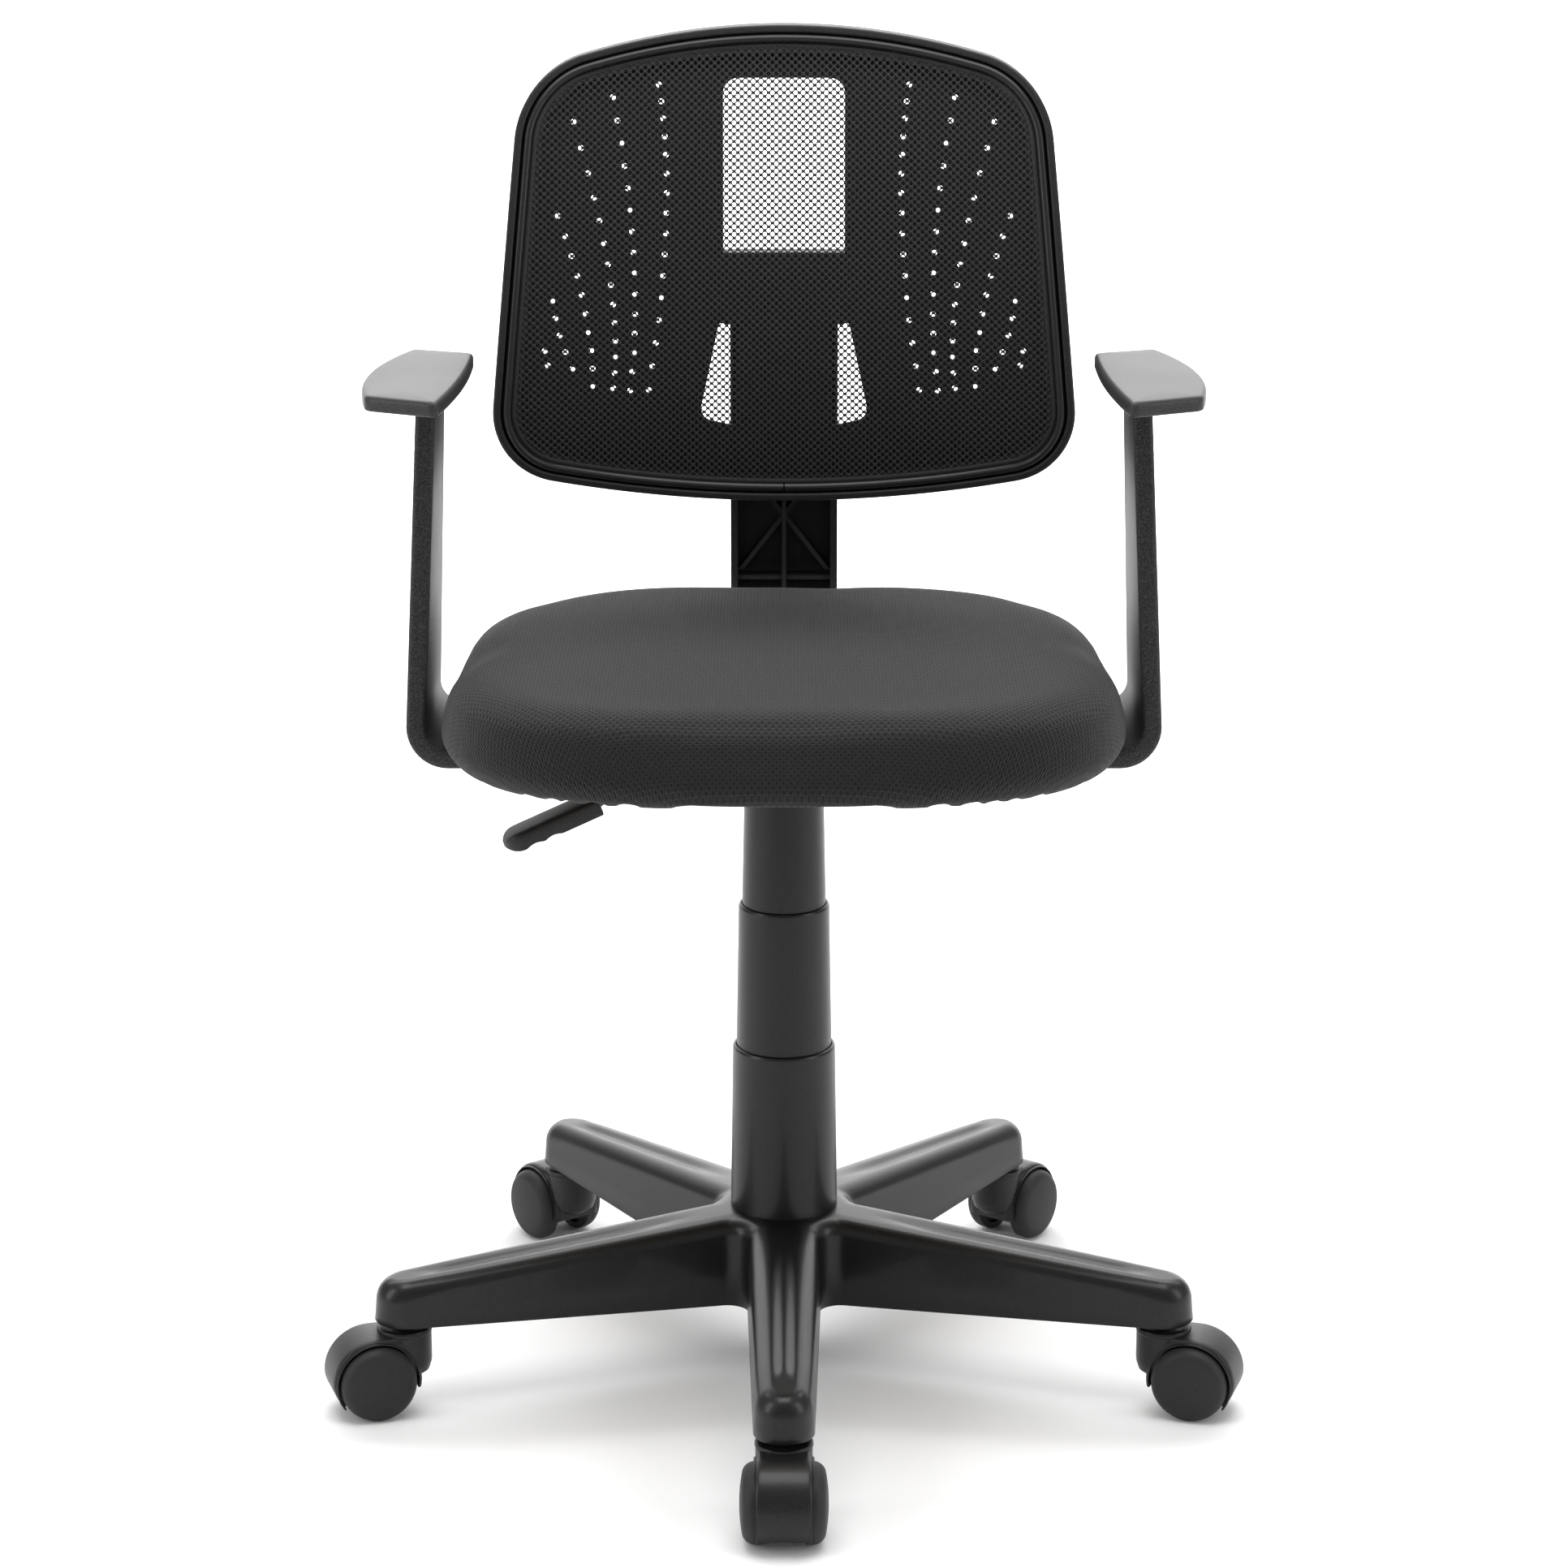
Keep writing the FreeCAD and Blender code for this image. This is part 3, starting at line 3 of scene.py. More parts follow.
import bmesh
import bpy
import numpy as np
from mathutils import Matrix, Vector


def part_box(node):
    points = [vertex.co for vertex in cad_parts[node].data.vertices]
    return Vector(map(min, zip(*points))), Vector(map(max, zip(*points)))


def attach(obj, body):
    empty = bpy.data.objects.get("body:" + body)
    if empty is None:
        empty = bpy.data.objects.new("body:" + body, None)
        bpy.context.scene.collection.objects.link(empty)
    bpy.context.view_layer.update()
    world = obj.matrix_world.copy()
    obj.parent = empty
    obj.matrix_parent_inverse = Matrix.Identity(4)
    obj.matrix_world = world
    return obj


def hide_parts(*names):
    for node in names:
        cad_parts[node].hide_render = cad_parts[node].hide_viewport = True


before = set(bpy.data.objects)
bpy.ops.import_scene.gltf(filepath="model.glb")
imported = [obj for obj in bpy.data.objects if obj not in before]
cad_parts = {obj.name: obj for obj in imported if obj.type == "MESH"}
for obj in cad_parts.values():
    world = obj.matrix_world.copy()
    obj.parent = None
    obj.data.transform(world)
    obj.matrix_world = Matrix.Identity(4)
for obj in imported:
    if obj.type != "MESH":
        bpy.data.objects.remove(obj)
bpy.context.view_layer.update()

# ---- Studio
# A pale floor that curves up into a backdrop. Large soft boxes above, beside and behind light the chair, and
# two more brighten the backdrop. The camera stands in front, above the seat, and looks slightly down.


def wired(material, kind, inputs=None, **settings):
    """A new shader node: its settings, and its inputs as values or as other nodes' outputs."""
    node = material.node_tree.nodes.new(kind)
    for key, value in settings.items():
        setattr(node, key, value)
    for key, value in (inputs or {}).items():
        if isinstance(value, bpy.types.NodeSocket):
            material.node_tree.links.new(value, node.inputs[key])
        else:
            node.inputs[key].default_value = value
    return node


def grey(value):
    return (value, value, value, 1.0)


def painted_floor():
    """Matt paint with a faint unevenness."""
    paint = bpy.data.materials.new("studio_floor")
    paint.use_nodes = True
    shader = paint.node_tree.nodes["Principled BSDF"]
    place = wired(paint, "ShaderNodeTexCoord")
    uneven = wired(paint, "ShaderNodeTexNoise", {"Vector": place.outputs["Object"], "Scale": 1.5})
    tone = wired(paint, "ShaderNodeMapRange", {"Value": uneven.outputs["Fac"], "To Min": 0.86, "To Max": 0.9})
    paint.node_tree.links.new(tone.outputs["Result"], shader.inputs["Base Color"])
    shader.inputs["Roughness"].default_value = 0.9
    shader.inputs["Specular IOR Level"].default_value = 0.1
    return paint


def backdrop():
    """Sheet carried along X: flat floor, quarter circle, upright wall."""
    half_width, front, turn_start, bend = 9.0, -7.0, 4.0, 2.5
    angle = np.linspace(0, math.pi / 2, 24)
    y = np.concatenate([[front], turn_start + bend * np.sin(angle), [turn_start + bend]])
    z = np.concatenate([[0.0], bend * (1 - np.cos(angle)), [7.0]])
    x = np.array([-half_width, half_width])
    points = np.stack(np.broadcast_arrays(x[None, :], y[:, None], z[:, None]), axis=-1)
    index = np.arange(points[..., 0].size).reshape(points.shape[:2])
    quads = np.stack([index[:-1, 0], index[:-1, 1], index[1:, 1], index[1:, 0]], axis=-1)
    mesh = bpy.data.meshes.new("studio_floor")
    mesh.from_pydata(points.reshape(-1, 3).tolist(), [], quads.tolist())
    mesh.shade_smooth()
    mesh.materials.append(painted_floor())
    floor = bpy.data.objects.new("studio_floor", mesh)
    bpy.context.scene.collection.objects.link(floor)


def soft_box(name, place, aim, width, height, power):
    """Area light at a place, turned towards a point."""
    data = bpy.data.lights.new(name, "AREA")
    data.shape = "RECTANGLE"
    data.size, data.size_y, data.energy = width, height, power
    light = bpy.data.objects.new(name, data)
    light.location = place
    light.rotation_euler = (Vector(aim) - Vector(place)).to_track_quat("-Z", "Y").to_euler()
    bpy.context.scene.collection.objects.link(light)


backdrop()
soft_box("top_box", (0, -0.4, 2.9), (0, 0, 0.5), 2.2, 1.6, 58)
soft_box("left_box", (-2.4, -1.0, 1.4), (0, 0, 0.5), 0.9, 2.0, 24)
soft_box("right_box", (2.4, -1.0, 1.4), (0, 0, 0.5), 0.9, 2.0, 20)
soft_box("rear_box", (0, 2.2, 2.6), (0, 0, 0.6), 2.4, 1.0, 22)
soft_box("wall_box", (0, 2.8, 3.4), (0, 6.5, 1.6), 7.0, 1.6, 420)
soft_box("floor_box", (0, 2.2, 3.4), (0, 3.4, 0.0), 7.0, 1.6, 150)
world = bpy.data.worlds.new("studio_air")
world.use_nodes = True
world.node_tree.nodes["Background"].inputs["Color"].default_value = grey(1.0)
world.node_tree.nodes["Background"].inputs["Strength"].default_value = 0.42
bpy.context.scene.world = world
bpy.context.scene.view_settings.view_transform = "Standard"

camera = bpy.data.objects.new("camera", bpy.data.cameras.new("camera"))
camera.location = (0, -2.7135, 1.169)
camera.rotation_euler = (math.radians(74.47), 0, 0)
camera.data.lens = 96.1
bpy.context.scene.collection.objects.link(camera)
bpy.context.scene.camera = camera


# ---- Base star
# Five legs moulded in one piece of glass-filled nylon, hollow and ribbed below, with a bore that wedges on
# the column. Each leg has two soft ridges with a shallow valley between them and a rounded, dropping tip.


def skin(points, around=True, closed=False):
    """Faces over a grid of points[row, column]: a quad between four neighbours, the last column joined to the
    first when it runs around, the last row to the first when it is closed, else flat caps on the end rows."""
    rows, columns = points.shape[:2]
    index = np.arange(rows * columns).reshape(rows, columns)
    ends = [index[0, ::-1], index[-1]] if around and not closed else []
    if around:
        index = np.hstack([index, index[:, :1]])
    if closed:
        index = np.vstack([index, index[:1]])
    quads = np.stack([index[:-1, :-1], index[:-1, 1:], index[1:, 1:], index[1:, :-1]], axis=-1)
    return points.reshape(-1, 3), quads.reshape(-1, 4), ends


def make_piece(name, skins, material, body, crisp=38.0):
    """One piece from its skins, given in millimetres: doubles merged, faces turned outward, and edges that
    turn more than `crisp` degrees kept sharp. It rides on a body and takes its material."""
    starts = np.cumsum([0] + [len(points) for points, quads, ends in skins])
    faces = []
    for (points, quads, ends), start in zip(skins, starts):
        faces += (quads + start).tolist()
        faces += [(end + start).tolist() for end in ends]
    mesh = bpy.data.meshes.new(name)
    mesh.from_pydata((np.vstack([s[0] for s in skins]) * 0.001).tolist(), [], faces)
    work = bmesh.new()
    work.from_mesh(mesh)
    bmesh.ops.remove_doubles(work, verts=work.verts, dist=2e-6)
    bmesh.ops.dissolve_degenerate(work, edges=work.edges, dist=1e-7)
    bmesh.ops.recalc_face_normals(work, faces=work.faces)
    work.to_mesh(mesh)
    work.free()
    mesh.shade_smooth()
    mesh.set_sharp_from_angle(angle=math.radians(crisp))
    mesh.materials.append(material)
    piece = bpy.data.objects.new(name, mesh)
    bpy.context.scene.collection.objects.link(piece)
    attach(piece, body)
    return piece


def moulded(name, dark, light, roughness, grain, height, mottle=0.05, coat=0.0):
    """Injection-moulded plastic: a spark-eroded grain of the given size and height in metres, with a painted
    glint that lightens the colour at its peaks, over broad faint patches of more and less sheen."""
    plastic = bpy.data.materials.new(name)
    plastic.use_nodes = True
    shader = plastic.node_tree.nodes["Principled BSDF"]
    place = wired(plastic, "ShaderNodeTexCoord").outputs["Object"]
    fine = wired(plastic, "ShaderNodeTexNoise",
                 {"Vector": place, "Scale": 1 / grain, "Detail": 3.0, "Roughness": 0.6})
    broad = wired(plastic, "ShaderNodeTexNoise", {"Vector": place, "Scale": 14.0, "Detail": 2.0})
    # Painted glint: the grain's peaks get the lighter colour, standing in for light caught on them.
    painted_peak_glint = wired(plastic, "ShaderNodeMapRange",
                  {"Value": fine.outputs["Fac"], "From Min": 0.4, "From Max": 0.7})
    tone = wired(plastic, "ShaderNodeMix", {"Factor": painted_peak_glint.outputs["Result"]}, data_type="RGBA")
    tone.inputs[6].default_value, tone.inputs[7].default_value = grey(dark), grey(light)
    sheen = wired(plastic, "ShaderNodeMapRange",
                  {"Value": broad.outputs["Fac"], "To Min": roughness - mottle, "To Max": roughness + mottle})
    bump = wired(plastic, "ShaderNodeBump",
                 {"Height": fine.outputs["Fac"], "Distance": height, "Strength": 0.8})
    links = plastic.node_tree.links
    links.new(tone.outputs[2], shader.inputs["Base Color"])
    links.new(sheen.outputs["Result"], shader.inputs["Roughness"])
    links.new(bump.outputs["Normal"], shader.inputs["Normal"])
    shader.inputs["Coat Weight"].default_value = coat
    shader.inputs["Specular IOR Level"].default_value = 0.32
    return plastic


def finish_nodes(material, *names):
    """Give CAD nodes a material."""
    for name in names:
        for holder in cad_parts[name].material_slots:
            holder.material = material


def turned_about_z(points, degrees):
    """Points turned about the Z axis."""
    c, s = math.cos(math.radians(degrees)), math.sin(math.radians(degrees))
    return points @ np.array([[c, s, 0], [-s, c, 0], [0, 0, 1]])


def lathe(profile, segments=48, centre=(0.0, 0.0)):
    """Closed ring: a closed profile of (radius, z) carried round the Z axis."""
    profile = np.array(profile, float)
    angle = np.linspace(0, 2 * math.pi, segments, endpoint=False)[:, None]
    points = np.stack([centre[0] + profile[:, 0] * np.cos(angle), centre[1] + profile[:, 0] * np.sin(angle),
                       np.broadcast_to(profile[:, 1], (segments, len(profile)))], axis=-1)
    return skin(points, closed=True)


def ease(value, low, high):
    """0 below low, 1 above high, an S curve between."""
    share = np.clip((value - low) / (high - low), 0, 1)
    return share * share * (3 - 2 * share)


CASTOR_CIRCLE = 270.0
LEG_TURNS = [-90.0 + 72.0 * k for k in range(5)]
leg_root, leg_tip, leg_blend, leg_wall = 25.0, 18.5, 14.0, 4.0
leg_tip_top = 94.0
hub_top, hub_radius, hub_low, hub_boss = 115.0, 38.0, 53.0, 32.0
leg_fall = (hub_top - leg_tip_top) / (CASTOR_CIRCLE - hub_radius)
leg_rise = 9.0 / (CASTOR_CIRCLE - leg_tip - hub_boss)


def leg_outline():
    """Half a leg's plan from the valley between two legs: the blend's arc, the leaning side, the tip's arc.
    Returns points, outward directions, and the matching points on the hub's circle and the leg's spine."""
    lean = math.atan2(leg_root - leg_tip, CASTOR_CIRCLE)
    sector = math.radians(36)
    reach = (leg_blend + leg_root * math.cos(lean)) / math.sin(sector + lean)
    centre = reach * np.array([math.cos(sector), math.sin(sector)])
    turn = np.linspace(math.pi + sector, 1.5 * math.pi - lean, 10)[:, None]
    spoke = np.hstack([np.cos(turn), np.sin(turn)])
    blend = centre + leg_blend * spoke
    normal = np.array([math.sin(lean), math.cos(lean)])
    tip_start = np.array([CASTOR_CIRCLE, 0]) + leg_tip * normal
    share = np.linspace(0, 1, 40)[1:, None]
    side = blend[-1] + (tip_start - blend[-1]) * share
    swing = np.linspace(math.pi / 2 - lean, 0, 16)[1:, None]
    round_tip = np.hstack([np.cos(swing), np.sin(swing)])
    tip = np.array([CASTOR_CIRCLE, 0]) + leg_tip * round_tip
    edge = np.vstack([blend, side, tip])
    out = np.vstack([-spoke, np.broadcast_to(normal, side.shape), round_tip])
    inner, before_tip = 30.0, CASTOR_CIRCLE - 8
    around = np.linspace(sector, 0, len(blend))[:, None]
    spine_x = np.concatenate([np.linspace(inner, before_tip, len(side) + 1)[1:],
                              np.linspace(before_tip, CASTOR_CIRCLE, len(tip) + 1)[1:]])
    spine = np.vstack([inner * np.hstack([np.cos(around), np.sin(around)]),
                       np.stack([spine_x, np.zeros_like(spine_x)], axis=-1)])
    return edge, out, spine


def leg_skin():
    """Half a leg, from the underside of its top round the wall to the top's middle line. The top falls away
    as a cone; across it, height follows a cosine valley and then a quarter ellipse down to the side."""
    edge, out, spine = leg_outline()
    radius = np.hypot(edge[:, 0], edge[:, 1])
    drop = 10.0 + 5.0 * ease(edge[:, 0], 235, 288)
    crest = hub_top - leg_fall * np.maximum(radius - hub_radius, 0)
    low = hub_low + leg_rise * np.clip(radius - hub_boss, 0, None)
    rows = []
    inner_edge = edge - leg_wall * out
    for q in np.linspace(1, 0, 5)[:-1]:
        plan = inner_edge + (spine - inner_edge) * q
        far = np.hypot(plan[:, 0], plan[:, 1])
        height = hub_top - leg_fall * np.maximum(far - hub_radius, 0) - leg_wall - 2.0 - 4.0 * (1 - q)
        rows.append((plan, height))
    rows.append((inner_edge, crest - drop - 3.0))
    rows.append((edge - (leg_wall - 1.0) * out, low + 0.6))
    rows.append((edge - (leg_wall - 1.6) * out, low))
    rows.append((edge + 0.6 * out, low))
    rows.append((edge + 1.2 * out, low + 0.8))
    rows.append((edge + 0.5 * out, (crest - drop + low) / 2))
    rows.append((edge, crest - drop))
    valley = 2.0 * ease(spine[:, 0], 60, 120) * (1 - ease(spine[:, 0], 238, 262))
    crown = 0.42
    for q in np.concatenate([crown + (1 - crown) * np.cos(np.linspace(0, math.pi / 2, 10))[1:],
                             np.linspace(crown, 0, 8)[1:]]):
        plan = spine + (edge - spine) * q
        far = np.hypot(plan[:, 0], plan[:, 1])
        height = hub_top - leg_fall * np.maximum(far - hub_radius, 0)
        outward = max(0.0, (q - crown) / (1 - crown))
        fall = drop * (1 - math.sqrt(max(0.0, 1 - outward ** 2)))
        dip = valley * 0.5 * (1 + math.cos(math.pi * min(q / crown, 1.0)))
        rows.append((plan, height - fall - dip))
    return np.array([np.column_stack([plan, height]) for plan, height in rows])


def plate_along(line, side, low, high):
    """Thin rib: a line of plan points with a half-thickness vector, between two heights."""
    corners = [np.column_stack([line + side, low]), np.column_stack([line + side, high]),
               np.column_stack([line - side, high]), np.column_stack([line - side, low])]
    return skin(np.stack(corners, axis=1))


def leg_ribs():
    """One leg's underside: a rib along its middle, four across it and the castor's socket."""
    along = np.linspace(hub_boss - 2, CASTOR_CIRCLE - 12, 12)
    half_rib = 1.25
    low = hub_low + leg_rise * (along - hub_boss) + 2.0
    top = hub_top - leg_fall * (along - hub_radius) - 7.0
    skins = [plate_along(np.column_stack([along, 0 * along]), np.array([0, half_rib]), low, top)]
    for share in (0.28, 0.44, 0.6, 0.76):
        x = share * CASTOR_CIRCLE
        half = leg_root + (leg_tip - leg_root) * share - leg_wall + 0.5
        across = np.linspace(-half, half, 9)
        top = hub_top - leg_fall * (x - hub_radius) - 6.0 - 5.0 * (across / half) ** 4
        low = np.full_like(across, hub_low + leg_rise * (x - hub_boss) + 2.0)
        line = np.column_stack([0 * across + x, across])
        skins.append(plate_along(line, np.array([half_rib, 0]), low, top))
    skins.append(lathe([(6, 62), (10.4, 62), (11, 62.8), (11, 86), (6, 86)], 32, (CASTOR_CIRCLE, 0)))
    return skins


base_nylon = moulded("base_nylon", 0.003, 0.009, 0.36, 0.0009, 0.00006, coat=0.08)
half_leg = leg_skin()
leg_skins = []
for turn in LEG_TURNS:
    for flip in (1.0, -1.0):
        points, quads, ends = skin(half_leg * np.array([1, flip, 1]), around=False)
        leg_skins.append((turned_about_z(points, turn), quads, ends))
    for points, quads, ends in leg_ribs():
        leg_skins.append((turned_about_z(points, turn), quads, ends))
hub_bore = 24.4
leg_skins.append(lathe([(hub_bore, hub_low), (hub_boss - 0.8, hub_low), (hub_boss, hub_low + 1),
                        (hub_boss, 108), (hub_boss - 1, hub_top - 1.5), (hub_bore + 0.4, hub_top - 1.5)], 96))
star = make_piece("base_star_moulding", leg_skins, base_nylon, "base", 50)
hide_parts("base_star")


# ---- Castors
# Each castor is a moulded hood with a fender over two wheels on a steel axle. The fender has rounded
# shoulders and a thin raised lip round each wheel's opening; the socket on top has a ring edge.


def hood_points():
    """The fender's section, carried round the axle from the low tip over the top to the front: outer skin
    with round shoulders and a lip, then the well of each wheel down to the web beside the axle."""
    axle_x, axle_z, well, half, web = 22.5, 26.0, 27.5, 19.25, 12.3
    turn = np.radians(np.linspace(-36, 192, 72))[:, None]
    flat_top = 30.5 / np.clip(np.sin(turn), 0.05, 1)
    front = 22.5 / np.clip(-np.cos(turn), 0.05, 1)
    behind_socket = np.where(np.degrees(turn) > 90, np.minimum(flat_top, front), 30.5)
    outer = np.maximum(behind_socket, 30.5) - 2.4 * (1 - ease(np.degrees(turn), -36, 5))
    narrow = 1 - 0.1 * (1 - ease(np.degrees(turn), -36, 30))
    bulge = np.radians(np.linspace(0, 90, 6))
    shoulder = 4.6
    lip_across = np.array([half - 0.5, half, half, half - 0.9])
    lip_reach = (0.0, 0.3, 1.0, 1.35)
    start = well + 1.15
    across = np.concatenate([lip_across, half - 1.2 - shoulder * (1 - np.cos(bulge))])
    reach = [np.broadcast_to(well + value, outer.shape) for value in lip_reach]
    reach += [start + (outer - start) * math.sin(b) for b in bulge]
    radius_side = np.hstack(reach)
    y_side = np.broadcast_to(across, radius_side.shape) * narrow
    radius_in = np.broadcast_to([well, 7.0, 3.0], (len(turn), 3))
    y_in = np.full((len(turn), 3), web)
    radius = np.hstack([radius_in[:, ::-1], radius_side, radius_side[:, ::-1], radius_in])
    y = np.hstack([y_in[:, ::-1], y_side, -y_side[:, ::-1], -y_in])
    return np.stack([axle_x + radius * np.cos(turn), y, axle_z + radius * np.sin(turn)], axis=-1)


socket = [(5.1, 24), (11, 24), (16.4, 28), (18, 33), (18.25, 36), (18.25, 55.2), (18.7, 55.8), (18.7, 57.6),
          (18.2, 58.6), (17.2, 59), (14.6, 59), (13.8, 58), (9.6, 58), (5.1, 58)]
hood_plastic = moulded("hood_plastic", 0.004, 0.012, 0.38, 0.0008, 0.00007, coat=0.05)
wheel_plastic = moulded("wheel_plastic", 0.012, 0.022, 0.55, 0.0006, 0.00004)
hood_grid = hood_points()
for number, turn in enumerate(LEG_TURNS, start=1):
    skins = []
    for points, quads, ends in (skin(hood_grid), lathe(socket)):
        placed = turned_about_z(points + np.array([CASTOR_CIRCLE, 0, 0]), turn)
        skins.append((placed, quads, ends))
    hood = make_piece("hood_%d" % number, skins, hood_plastic, "castor_%d" % number, 34)
    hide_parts("castor_hood_%d" % number)
    finish_nodes(wheel_plastic, "wheel_%d_left" % number, "wheel_%d_right" % number)


def steel(name, tone, roughness, metallic=1.0):
    """Metal with fine stretched marks: noise squeezed along Z gives both the sheen and a slight relief."""
    metal = bpy.data.materials.new(name)
    metal.use_nodes = True
    shader = metal.node_tree.nodes["Principled BSDF"]
    place = wired(metal, "ShaderNodeTexCoord").outputs["Object"]
    squeeze = wired(metal, "ShaderNodeMapping", {"Vector": place, "Scale": (1.0, 1.0, 0.12)})
    marks = wired(metal, "ShaderNodeTexNoise",
                  {"Vector": squeeze.outputs["Vector"], "Scale": 400.0, "Detail": 4.0})
    shade = wired(metal, "ShaderNodeMapRange",
                  {"Value": marks.outputs["Fac"], "To Min": tone * 0.8, "To Max": tone})
    gloss = wired(metal, "ShaderNodeMapRange",
                  {"Value": marks.outputs["Fac"], "To Min": roughness - 0.06, "To Max": roughness + 0.08})
    bump = wired(metal, "ShaderNodeBump",
                 {"Height": marks.outputs["Fac"], "Distance": 0.00002, "Strength": 0.5})
    links = metal.node_tree.links
    links.new(shade.outputs["Result"], shader.inputs["Base Color"])
    links.new(gloss.outputs["Result"], shader.inputs["Roughness"])
    links.new(bump.outputs["Normal"], shader.inputs["Normal"])
    shader.inputs["Metallic"].default_value = metallic
    return metal


zinc_steel = steel("zinc_steel", 0.55, 0.35)
black_steel = steel("black_steel", 0.02, 0.4, 0.0)
finish_nodes(zinc_steel, "castor_stems", "stem_grips", "piston_rod", "retaining_clip", "thrust_bearing",
             "bearing_washers", "valve_pin", "tee_nuts", "lever_pin", "pivot_pin", "bracket_screws",
             "pad_screws", *["castor_axle_%d" % n for n in range(1, 6)])


# ---- Gas lift and its covers
# A steel cylinder slides in the column tube, hidden by three telescoping covers of thin satin plastic.
# The lower one stands on the base, the upper one hangs from the seat plate.

cover_plastic = moulded("cover_plastic", 0.002, 0.005, 0.38, 0.0016, 0.00004, coat=0.1)
guide_plastic = moulded("guide_plastic", 0.5, 0.62, 0.5, 0.001, 0.00003)
buffer_rubber = moulded("buffer_rubber", 0.01, 0.02, 0.8, 0.0012, 0.00008)
finish_nodes(cover_plastic, "lower_cover", "middle_cover", "upper_cover")
finish_nodes(black_steel, "column_tube", "gas_cylinder", "seat_plate", "lever_rod", "pivot_bracket",
             "plate_bolts", "arm_bolts", "bar_bolts")
finish_nodes(guide_plastic, "column_bush")
finish_nodes(buffer_rubber, "rubber_buffer", "pivot_bushes")


# ---- Seat board
# Moulded plywood under the cushion, its veneers showing at the edge, drilled for the tee nuts.


def plywood_material():
    """Veneers by height, alternating dark and pale, with grain stretched along X."""
    wood = bpy.data.materials.new("plywood")
    wood.use_nodes = True
    shader = wood.node_tree.nodes["Principled BSDF"]
    place = wired(wood, "ShaderNodeTexCoord").outputs["Object"]
    long_way = wired(wood, "ShaderNodeMapping", {"Vector": place, "Scale": (4.0, 60.0, 60.0)})
    grain = wired(wood, "ShaderNodeTexNoise",
                  {"Vector": long_way.outputs["Vector"], "Scale": 3.0, "Detail": 5.0})
    plies = wired(wood, "ShaderNodeTexWave", {"Vector": place, "Scale": 130.0, "Distortion": 0.4},
                  bands_direction="Z")
    share = wired(wood, "ShaderNodeMath", {0: grain.outputs["Fac"], 1: plies.outputs["Fac"]},
                  operation="MULTIPLY")
    tone = wired(wood, "ShaderNodeMix", {"Factor": share.outputs["Value"]}, data_type="RGBA")
    tone.inputs[6].default_value = (0.28, 0.17, 0.09, 1)
    tone.inputs[7].default_value = (0.62, 0.45, 0.28, 1)
    bump = wired(wood, "ShaderNodeBump", {"Height": grain.outputs["Fac"], "Distance": 0.0001})
    wood.node_tree.links.new(tone.outputs[2], shader.inputs["Base Color"])
    wood.node_tree.links.new(bump.outputs["Normal"], shader.inputs["Normal"])
    shader.inputs["Roughness"].default_value = 0.65
    return wood


finish_nodes(plywood_material(), "seat_board")


# ---- Seat cushion
# Foam under a stretched charcoal spacer knit, pulled round the board's edge and stapled below. Its sides
# are full and round, the top is softly crowned, and the knit's staggered eyelets read as fine ribs.

seat_low, seat_high = [np.array(corner) * 1000 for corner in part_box("seat_cushion")]
seat_middle = (seat_low + seat_high) / 2
seat_half = (seat_high - seat_low) / 2
board_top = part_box("seat_board")[1].z * 1000
arm_y = -20.0


def seat_plan(inset, angle):
    """Superellipse of power 3 round the seat's middle, narrower towards the back, moved inward."""
    power = 2 / 3
    c, s = np.cos(angle), np.sin(angle)
    wide, deep = seat_half[0] - 2.0 - inset, seat_half[1] - inset
    y = deep * np.sign(s) * np.abs(s) ** power
    x = wide * np.sign(c) * np.abs(c) ** power * (1 - 0.06 * y / seat_half[1])
    return x + seat_middle[0], y + seat_middle[1]


def cushion_points():
    """Rows of the plan, level by level: the pocket over the board, the lip below it, the round side, the
    shoulder and the crown. The lip rises over the arms' feet and over the back bar."""
    angle = np.linspace(0, 2 * math.pi, 240, endpoint=False)
    crown, low = seat_high[2] + 2.5, seat_low[2] + 1.0
    ceiling = board_top + 3.5
    widest, bulge, shoulder, power = low + 30.0, 40.0, crown - low - 32.5, 2.6
    tuck, side = 25.0, 4.0
    levels = [(150, ceiling), (90, ceiling), (30, ceiling), (22.5, ceiling - 2), (22, low + 8), (21, low + 1)]
    levels += [(tuck - (tuck - side) * math.cos(a), widest + (widest - low) * math.sin(a))
               for a in np.radians([-80, -62, -44, -22])]
    for share in np.concatenate([[0, 0.03, 0.08, 0.15, 0.24], np.linspace(0.35, 1.0, 9)]):
        levels.append((side + bulge * share, widest + shoulder * (1 - (1 - share) ** power) ** (1 / power)))
    levels += [(64, crown - 2.2), (90, crown - 1.3), (120, crown - 0.5), (150, crown)]
    rows = []
    for inset, z in levels:
        x, y = seat_plan(inset, angle)
        foot = ease(-np.abs(y - arm_y), -79, -71) * ease(np.abs(x), 90, 120)
        bar = ease(-np.abs(x), -52, -42) * ease(y, 60, 90)
        clear = np.maximum(foot, bar) * np.clip(board_top - 9.5 - z, 0, None)
        rows.append(np.column_stack([x, y, z + clear]))
    return np.array(rows)


